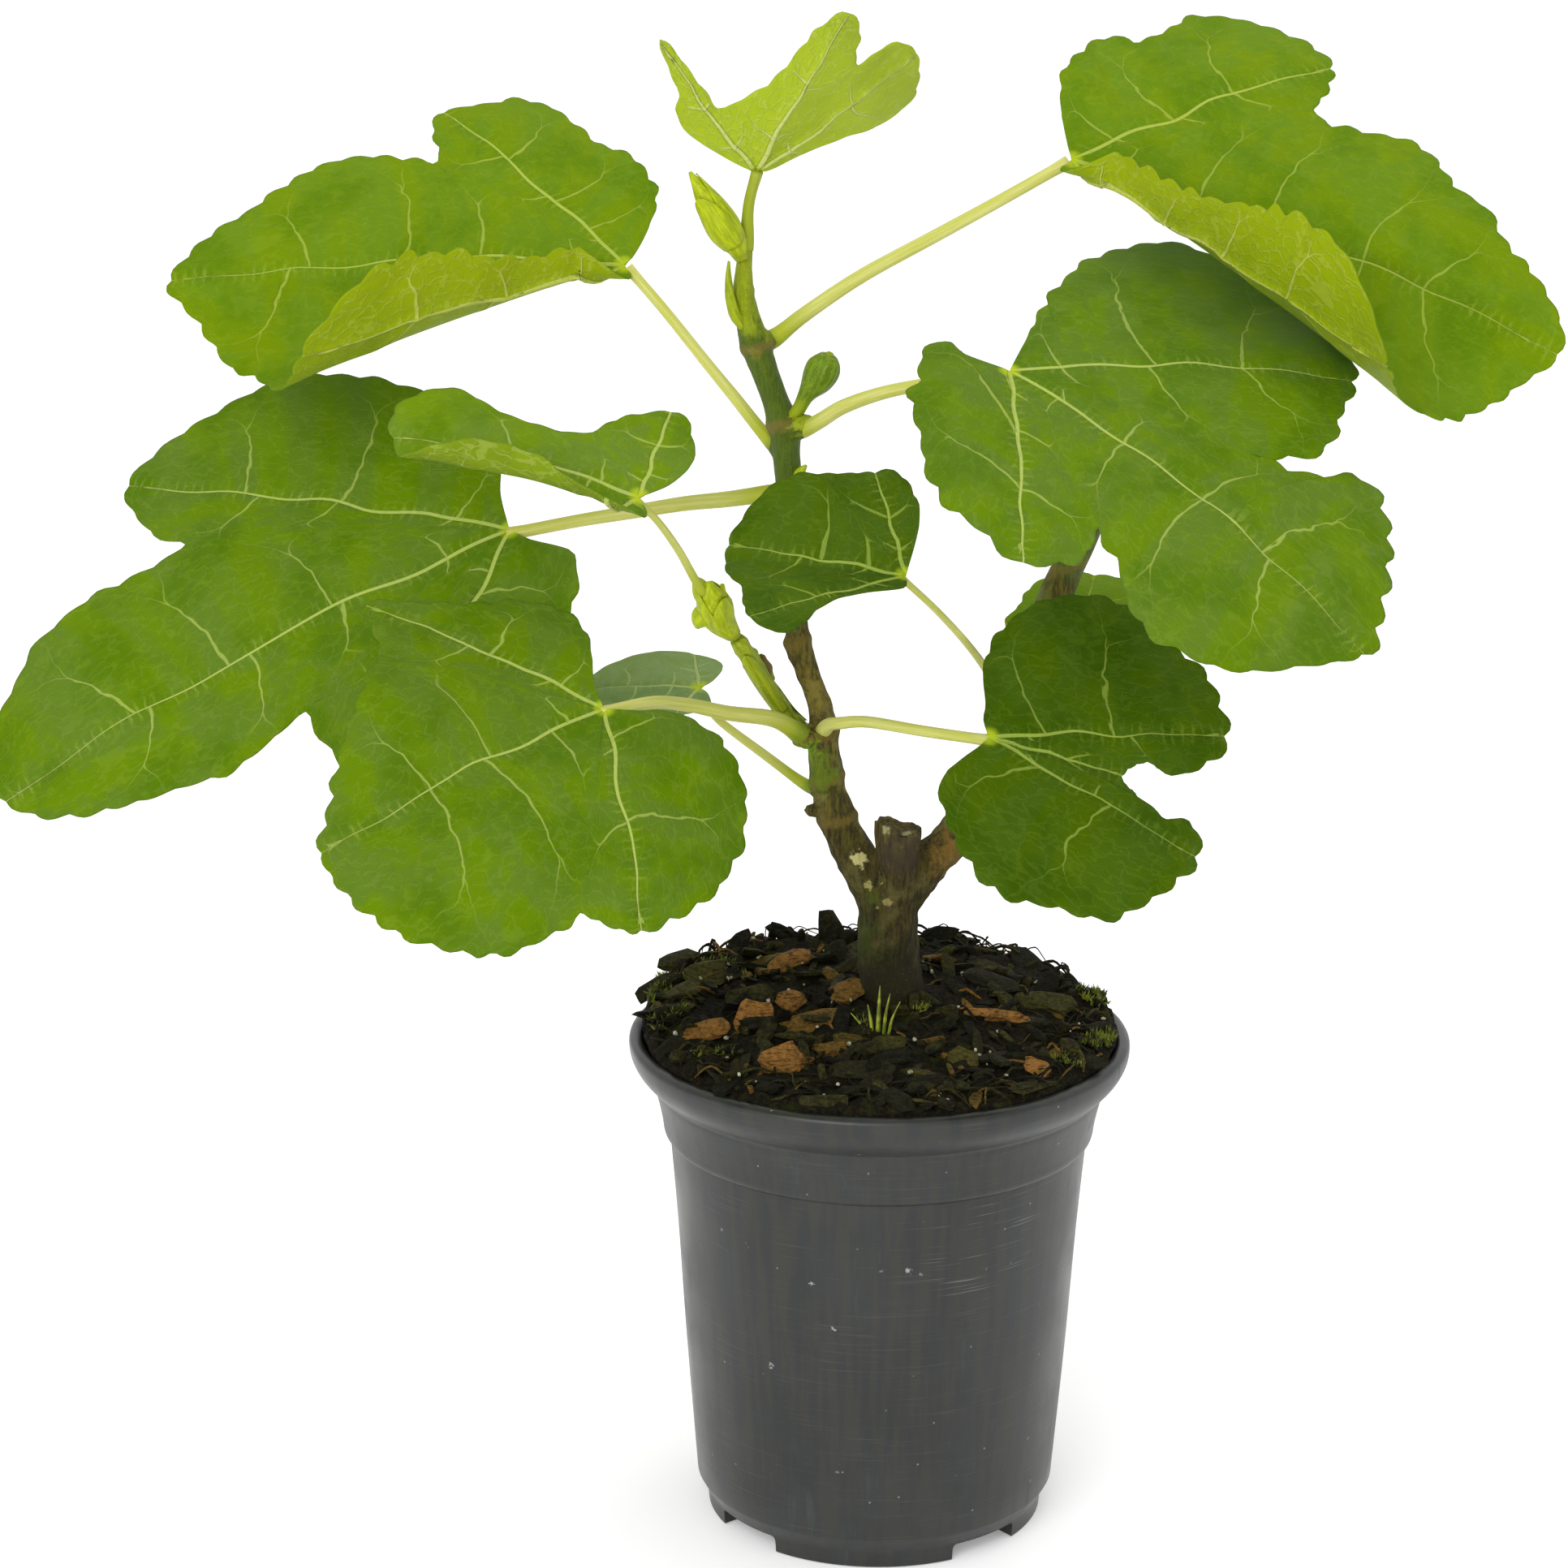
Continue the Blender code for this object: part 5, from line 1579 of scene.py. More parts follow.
@dataclass
class Leaf:
    """A leaf: where its stalk meets it, how it is held, how it bends, and its outline laid flat.

    Each side has (fold at the midrib, turn further out, distance over which it turns). On a curled
    side that distance grows along the midrib like a cone, and is as given at the cone distance.
    The outline runs clockwise from the stalk to the stalk again, as (direction, distance) from the
    stalk with 0 along the midrib and + to its left. A tip or a sinus has its mark after these.
    """

    name: str
    slot: str
    finish: LeafFinish
    joint: Point
    azimuth: float
    pitch: float
    roll: float
    length: float
    droop: float
    left: Point
    right: Point
    outline: Sequence[tuple]
    stalk: Sequence[Point]
    stalk_widths: Point
    stalk_finish: StalkFinish = StalkFinish()
    cone: float = 0
    ripple: float = 0.8
    tooth: float = 1.4
    tooth_spacing: float = 8
    puff: float = 0.7
    vein_spacing: float = 27

    def frame(self) -> Matrix:
        """The blade's own axes: along the midrib, to the left, and up out of the upper side."""
        held = turned(self.azimuth, "Z", 3) @ turned(-self.pitch, "Y", 3)
        return held @ turned(self.roll, "X", 3)

    def across(self, distance: float, fold: float, turn: float, reach: float) -> Point:
        """Follows a line that leaves the midrib at the fold and turns evenly until its reach.

        Args:
            distance: How far along the line.
            fold: The angle at which it leaves.
            turn: How far it turns in all.
            reach: The distance over which it turns.

        Returns:
            The distances out from the midrib and up.
        """
        fold, rate = math.radians(fold), math.radians(turn) / reach
        bent = min(distance, reach)
        end = fold + rate * bent
        out, up = (math.sin(end) - math.sin(fold)) / rate, (math.cos(fold) - math.cos(end)) / rate
        return out + (distance - bent) * math.cos(end), up + (distance - bent) * math.sin(end)

    def place(self, x: float, y: float) -> Vector:
        """Where a point of the flat blade lies once the blade is bent and held in place."""
        fold, turn, reach = self.left if y >= 0 else self.right
        if self.cone and turn > CURLED:
            reach *= max(LEAST_CONE, x / self.cone)
        out, up = self.across(abs(y), fold, turn, reach)
        wave = math.sin(math.atan2(y, x) * RIPPLES + self.pitch)
        up += self.ripple * smooth_step(math.hypot(x, y) / RIPPLE_REACH) * wave
        bend = -math.radians(self.droop) / self.length
        angle = bend * x
        sine, cosine = math.sin(angle), math.cos(angle)
        along, rise = (sine / bend, (1 - cosine) / bend) if bend else (x, 0.0)
        local = Vector((along - sine * up, math.copysign(out, y), rise + cosine * up))
        return Vector(self.joint) + self.frame() @ local

    def kink(self, tip: Vector, share: float) -> float:
        """How far a main vein strays from a straight line at a share of its length."""
        wander = noise.noise(Vector((share * 5.5, tip.x / 40, tip.y / 40)))
        return 0.035 * tip.length * wander * 4 * share * (1 - share)

    def vein_point(self, tip: Vector, share: float) -> Vector:
        """A point of the main vein that ends at the tip."""
        side = Vector((-tip.y, tip.x)).normalized()
        return tip * share + side * self.kink(tip, share)

    def from_vein(self, tip: Vector, point: Vector) -> float:
        """The distance of a flat point from the main vein that ends at the tip."""
        along = tip.normalized()
        share = point.dot(along) / tip.length
        if share <= 0:
            return point.length
        if share >= 1:
            return (point - tip).length
        return abs(along.x * point.y - along.y * point.x - self.kink(tip, share))

    def side_veins(self, tip: Vector, power: float, steps: int, draw: random.Random) -> list[float]:
        """The shares of a half lobe's rim that its side veins run to."""
        count = max(2, round(tip.length / self.vein_spacing))
        roots = [(i + 0.6 + draw.uniform(-0.15, 0.15)) / (count + 0.7) for i in range(count)]
        return [(max(1, round(root * steps)) / steps) ** (1 / power) for root in roots]

    def meetings(self, tip: Vector, rim: list[Vector], power: float, outwards: bool) -> list[Point]:
        """How the spokes of a half lobe meet its rim.

        Args:
            tip: Where the main vein ends.
            rim: The rim from the stalk to the tip.
            power: How the spokes' roots are spread along the main vein.
            outwards: Whether the rim runs with the outline.

        Returns:
            The part of each spoke that is square to the rim, and its length, at even steps.
        """
        points = points_at(rim, [i / BOW_STEPS for i in range(BOW_STEPS + 1)])
        found = []
        for i, point in enumerate(points):
            chord = point - tip * ROOT_SHARE * (i / BOW_STEPS) ** power
            found.append((outward(points, i, outwards).dot(chord), chord.length))
        return found

    def spread(self, tip: Vector, rim: list[Vector], wanted: float, outwards: bool) -> float:
        """The spread of the spokes' roots nearest the wanted one that meets the rim squarely."""
        def least(power: float) -> float:
            """The sine of the sharpest angle at the rim."""
            found = self.meetings(tip, rim, power, outwards)
            return min(square / length for square, length in found if length > 3)

        tries = sorted((wanted * i / 12 for i in range(5, 20)),
                       key=lambda power: abs(power - wanted))
        return next((power for power in tries if least(power) > SQUARE), max(tries, key=least))

    def margin(self, run: list[Vector], stops: list[Point], teeth: int, outwards: bool,
               draw: random.Random) -> list[Vector]:
        """The margin from a sinus to a tip, with its rounded teeth leaning towards the tip.

        Args:
            run: The smooth line that the teeth stand on.
            stops: Where on it the points go, each with how far its tooth may stand out.
            teeth: How many teeth it has.
            outwards: Whether it runs with the outline.
            draw: The random draw of the teeth's sizes.

        Returns:
            One point for each stop.
        """
        length = line_length(run)
        tall = self.tooth * min(1, length / teeth / self.tooth_spacing)
        sizes = [draw.uniform(0.4, 1.5) for _ in range(teeth + 1)]
        base = points_at(run, [share for share, _ in stops])
        raised = []
        for i, (point, (share, stand)) in enumerate(zip(base, stops)):
            uneven = noise.noise(Vector((share * teeth / 2, length / 9, teeth)))
            uneven = 0.3 * uneven * math.sin(math.pi * share)
            tooth, phase = divmod(max(share * teeth + uneven, 0), 1)
            calm = stand * smooth_step((point.length - 12) / 16)
            most = outward(base, i, outwards) * tall * sizes[int(tooth)] * calm
            raised.append(point + most * math.sin(math.pi * phase ** 1.3))
        return raised

    def add_half_lobe(self, bm: BMesh, start: tuple, end: tuple, line: list[Vector],
                      draw: random.Random) -> None:
        """Adds one half lobe: a grid whose spokes run from the main vein to the margin.

        Args:
            bm: The flat blade, with its layers.
            start: The marked knot that the line starts at.
            end: The marked knot that it ends at.
            line: The outline between them.
            draw: The random draw of the leaf.
        """
        outwards = TIP in end
        tip, inner = (flat(*knot[:2]) for knot in ((end, start) if outwards else (start, end)))
        run = line if outwards else line[::-1]
        length, seam = line_length(run), inner.length
        whole = seam + length
        meeting = seam / whole
        teeth = max(FEWEST_TEETH, round(length / self.tooth_spacing))
        rim = [Vector((0, 0)), *run] if seam else run
        power = 1.15
        if seam:
            apart = inner.angle(tip)
            root = min(max(0.3, math.cos(apart) - math.sin(apart)) * seam / tip.length, 0.8)
            power = math.log(root / ROOT_SHARE) / math.log(meeting)
        power = self.spread(tip, rim, power, outwards)
        meetings = self.meetings(tip, rim, power, outwards)
        bows = [BOW * math.sin(math.pi * i / BOW_STEPS) * abs(square)
                for i, (square, _) in enumerate(meetings)]
        stands = [smooth_step(1.3 * square / max(reach, 1e-6)) for square, reach in meetings]
        beside = 0.5 / whole
        seam_steps = max(4, round(seam / SEAM_STEP)) if seam else 0
        root_steps = max(4, round(ROOT_SHARE * tip.length / ROOT_STEP))
        veins = self.side_veins(tip, power, root_steps, draw)
        shares = {meeting * i / seam_steps for i in range(seam_steps)} | {meeting, 1.0}
        shares |= {(i / root_steps) ** (1 / power) for i in range(1, root_steps)}
        steps = teeth * POINTS_A_TOOTH
        more = [vein + step for vein in veins for step in (0, -beside, beside)]
        more += [mix(meeting, 1, i / steps) for i in range(1, steps)]
        for share in more:
            if min(abs(share - other) for other in shares) > 0.6 * beside:
                shares.add(share)
        columns = {}
        for share in sorted(shares):
            root = max(1, round(share ** power * root_steps)) if share else 0
            if share < meeting:
                place = round(share / meeting * seam_steps)
                place = min(max(1, place), seam_steps - 1) if share else 0
                columns.setdefault((root, place), share)
            else:
                columns[root, share] = share
        shares = list(columns.values())
        on_seam = [place for (_, place), share in columns.items() if share < meeting]
        rim = [inner * (place / seam_steps) for place in on_seam]
        rim += self.margin(run, [((share - meeting) / (1 - meeting), read_off(stands, share))
                                 for share in shares[len(on_seam):]], teeth, outwards, draw)
        stops, counts = [0.0, *veins, 1.0], [0.5, *range(1, len(veins) + 2)]
        spokes = []
        for (step, _), share, edge in zip(columns, shares, rim):
            root = self.vein_point(tip, ROOT_SHARE * step / root_steps)
            chord = edge - root
            reach = max(chord.length, 1e-6)
            bend = root + chord / 2 - tip.normalized() * read_off(bows, share)
            near = [ring * min(1, reach / 22) / reach for ring in NEAR_RINGS]
            rim_ring = 1 - min(RIM_RING / reach, 0.05)
            far = [mix(near[-1], rim_ring, (i + 1) / FAR_RINGS) for i in range(FAR_RINGS)]
            points = [(t, root * (1 - t) ** 2 + 2 * t * (1 - t) * bend + edge * t * t)
                      for t in [*near, *far, 1.0]]
            span = max(i for i in range(len(stops) - 1) if stops[i] <= share)
            part = (share - stops[span]) / (stops[span + 1] - stops[span])
            held = 0.5 * smooth_step((meeting - share) * whole / 9) if share < meeting else 0.0
            spokes.append(Spoke(points, mix(counts[span], counts[span + 1], part), held))
        self.fill_grid(bm, spokes, tip)

    @staticmethod
    def shared_numbers(spokes: list[Spoke], end: int) -> list[float]:
        """The number of each spoke at one end, which is the same for spokes that meet there.

        Args:
            spokes: The half lobe's spokes in order.
            end: 0 for their roots, -1 for their far ends.

        Returns:
            A number for each spoke: that of a side vein among those that meet, or else their mean.
        """
        def spot(spoke: Spoke) -> Point:
            """Where a spoke's end lies, to a hundredth of a millimetre."""
            return tuple(round(value, 2) for value in spoke.points[end][1])

        numbers = []
        for _, group in groupby(spokes, key=spot):
            own = [spoke.number for spoke in group]
            veins = [number for number in own if abs(number - round(number)) < 1e-6]
            numbers += [veins[0] if veins else sum(own) / len(own)] * len(own)
        return numbers

    def fill_grid(self, bm: BMesh, spokes: list[Spoke], tip: Vector) -> None:
        """Lays a grid over the spokes of a half lobe and notes where it lies among the veins.

        Args:
            bm: The flat blade, with its layers.
            spokes: The half lobe's spokes in order.
            tip: Where the half lobe's main vein ends.
        """
        wide, high = len(spokes) - 1, len(spokes[0].points) - 1
        grid = bmesh.ops.create_grid(bm, x_segments=wide, y_segments=high, size=0.5)["verts"]
        maps = [bm.loops.layers.uv[key] for key in UV_MAPS]
        relief, thick = bm.verts.layers.float["relief"], bm.verts.layers.deform.active
        numbers = [spoke.number for spoke in spokes]
        roots, ends = self.shared_numbers(spokes, 0), self.shared_numbers(spokes, -1)
        notes = {}
        for vert in grid:
            i, j = round((vert.co.x + 0.5) * wide), round((vert.co.y + 0.5) * high)
            spoke = spokes[i]
            window = WINDOW * smooth_step(abs(spoke.number - round(spoke.number)) / 0.12)
            before = max(min(bisect_right(numbers, spoke.number - window), i) - 1, 0)
            after = min(max(bisect_left(numbers, spoke.number + window), i + 1), wide)
            share, point = spoke.points[j]
            number = mix(roots[i], ends[i], share)
            change = mix(roots[after], ends[after], share) - mix(roots[before], ends[before], share)
            step = (spokes[after].points[j][1] - spokes[before].points[j][1]) / max(change, 1e-6)
            run = spoke.points[min(j + 1, high)][1] - spoke.points[max(j - 1, 0)][1]
            run = run.normalized() if run.length > 1e-9 else Vector((1, 0))
            spacing = abs(step.x * run.y - step.y * run.x)
            far = self.from_vein(tip, point)
            spot = Spot(number, share, far, spacing, spoke.length(), spoke.held, point.length)
            vert.co = (point.x, point.y, 0)
            vert[relief] = self.relief(spot)
            vert[thick][0] = self.thickness(spot) / THICKEST
            notes[vert] = ((point.x, point.y), (number, share), (far, spacing),
                           (0.36 * share * spoke.length(), 5 * number))
        faces = joined(grid, "link_faces")
        for face in faces:
            for loop in face.loops:
                for uv, note in zip(maps, notes[loop.vert]):
                    loop[uv].uv = note
            face.normal_update()
        if sum(face.normal.z * face.calc_area() for face in faces) < 0:
            bmesh.ops.reverse_faces(bm, faces=faces)

    def unfold(self, bm: BMesh) -> None:
        """Smooths the few places of the flat blade where spokes cross, until no face is flipped or
        the rounds run out.
        """
        for _ in range(UNFOLD_ROUNDS):
            bm.normal_update()
            near = {vert for face in bm.faces if face.normal.z < 0.5 for vert in face.verts}
            if not near:
                break
            for _ in range(2):
                near |= {end for vert in near for edge in vert.link_edges for end in edge.verts}
            inner = [vert for vert in near if not vert.is_boundary]
            bmesh.ops.smooth_vert(bm, verts=inner, factor=0.5, use_axis_x=True, use_axis_y=True)

    def relief(self, spot: Spot) -> float:
        """How far the upper side stands above the plain blade, between its sunken veins."""
        puff = math.sin(math.pi * spot.number) ** 2 * min(1, spot.spacing / 12)
        edge = smooth_step((1 - spot.share) * spot.spoke / CALM_STRIP)
        heart = smooth_step(spot.share * spot.spoke / CALM_STRIP)
        puff = self.puff * mix(spot.held, puff, edge) * heart
        return puff - 0.2 * bell(spot.far, 1.0) - 0.1 * bell(spot.side(), 0.8) * (1 - spot.share)

    def thickness(self, spot: Spot) -> float:
        """The blade's thickness, with its ribs on the underside."""
        taper = 1 - 0.85 * smooth_step(spot.out / self.length)
        size = min(1.0, self.length / 90)
        ribs = 1.2 * size * taper * bell(spot.far, 0.6)
        ribs += 0.42 * size * (1 - spot.share) * bell(spot.side(), 0.42)
        return min(BLADE + ribs, THICKEST)

    def build_blade(self) -> Object:
        draw = random.Random(self.name)
        bm = bmesh.new()
        for key in UV_MAPS:
            bm.loops.layers.uv.new(key)
        bm.verts.layers.float.new("relief")
        bm.verts.layers.deform.new()
        knots = [(0, 0), *self.outline, (0, 0)]
        line = spline([flat(*knot[:2]) for knot in knots], OUTLINE_STEPS)
        stops = [0] + [i for i, knot in enumerate(knots) if len(knot) > 2] + [len(knots) - 1]
        for a, b in zip(stops, stops[1:]):
            part = line[a * OUTLINE_STEPS: b * OUTLINE_STEPS + 1]
            self.add_half_lobe(bm, knots[a], knots[b], part, draw)
        bmesh.ops.remove_doubles(bm, verts=bm.verts, dist=0.003)
        bmesh.ops.dissolve_degenerate(bm, dist=0.002, edges=bm.edges)
        self.unfold(bm)
        for vert in bm.verts:
            vert.co = self.place(vert.co.x, vert.co.y)
        bm.normal_update()
        relief = bm.verts.layers.float["relief"]
        for vert in bm.verts:
            vert.co += vert.normal * (UPPER_LIFT + vert[relief])
        skins = [self.finish.material(self.name, side, self.length) for side in Side]
        blade = finished(bm, "leaf_" + self.name, skins)
        blade.vertex_groups.new(name="ribs")
        walls = blade.modifiers.new("Thickness", "SOLIDIFY")
        walls.thickness, walls.offset, walls.vertex_group = THICKEST * MM, -1, "ribs"
        walls.material_offset, walls.material_offset_rim = 1, 0
        return declare(blade, self.slot, "blade_" + self.name)

    def cushion(self) -> Points:
        """The swelling of the stem that the stalk's root grows from."""
        root, ahead = Vector(self.stalk[0]), Vector(self.stalk[1])
        along, width = (ahead - root).normalized(), self.stalk_widths[0] / 2
        return tuple((*(root + far * along), share * width)
                     for far, share in ((0, 1.25), (2.4, 1.3), (3.8, 1.0), (4.4, 0.5)))

    def build_stalk(self) -> Object:
        """Makes the stalk, from its swollen root on the stem up into the ribs of the blade."""
        base, top = (width / 2 for width in self.stalk_widths)
        under = Vector((-1 if self.cone else 1, 0, -(0.45 + top * 0.6)))
        end = Vector(self.joint) + self.frame() @ under
        route = [Vector(point) for point in self.stalk] + [end]
        last = len(route) - 1
        knots = [(*point, mix(base, top, smooth_step(i / last))) for i, point in enumerate(route)]
        length = line_length(route)

        def swell(angle: float, along: float) -> float:
            """Wider at the root and under the blade, with a shallow groove."""
            ends = 0.22 * bell(along - 3, 4) + 0.16 * bell(length - along, 3)
            return 1 + ends - 0.05 * max(0.0, math.cos(angle)) ** 3

        bm = Sweep(knots, 20, 6, swell).build()
        material = self.stalk_finish.material(self.name)
        return add_piece(bm, "petiole_" + self.name, material, "petiole", "stalk_" + self.name)


# These greens are partly the leaves' own tones and partly lit and shaded copies of one leaf green
YOUNG = LeafFinish(srgb(172, 192, 34), srgb(150, 174, 16), srgb(168, 190, 56), srgb(214, 222, 128),
                   srgb(184, 200, 44), srgb(222, 228, 134), srgb(180, 208, 10), 0.35)
# Its pale underside is partly painted light shining through the top leaves
BRIGHT_LIT = LeafFinish(srgb(122, 146, 0), srgb(92, 126, 0), srgb(112, 142, 24), srgb(190, 208, 86),
                    srgb(158, 176, 4), srgb(206, 214, 96), srgb(140, 182, 0), 0.34)
MID = LeafFinish(srgb(104, 134, 0), srgb(80, 114, 0), srgb(98, 126, 36), srgb(186, 204, 100),
                 srgb(128, 152, 14), srgb(196, 206, 112), srgb(110, 158, 0), 0.26)
FOLDED = replace(MID, blade=srgb(114, 144, 6), deep=srgb(92, 126, 0), painted_sheen=srgb(108, 136, 44))
# A darker copy for the leaves that stand under others, partly painted shade
DEEP_SHADED = LeafFinish(srgb(80, 106, 0), srgb(56, 86, 0), srgb(76, 104, 20), srgb(166, 188, 80),
                  srgb(118, 144, 50), srgb(182, 194, 110), srgb(90, 144, 0), 0.25)
GREYISH = LeafFinish(srgb(136, 160, 90), srgb(110, 138, 74), srgb(142, 164, 108),
                     srgb(182, 200, 128), srgb(136, 154, 92), srgb(184, 198, 136),
                     srgb(116, 150, 40), 0.22)

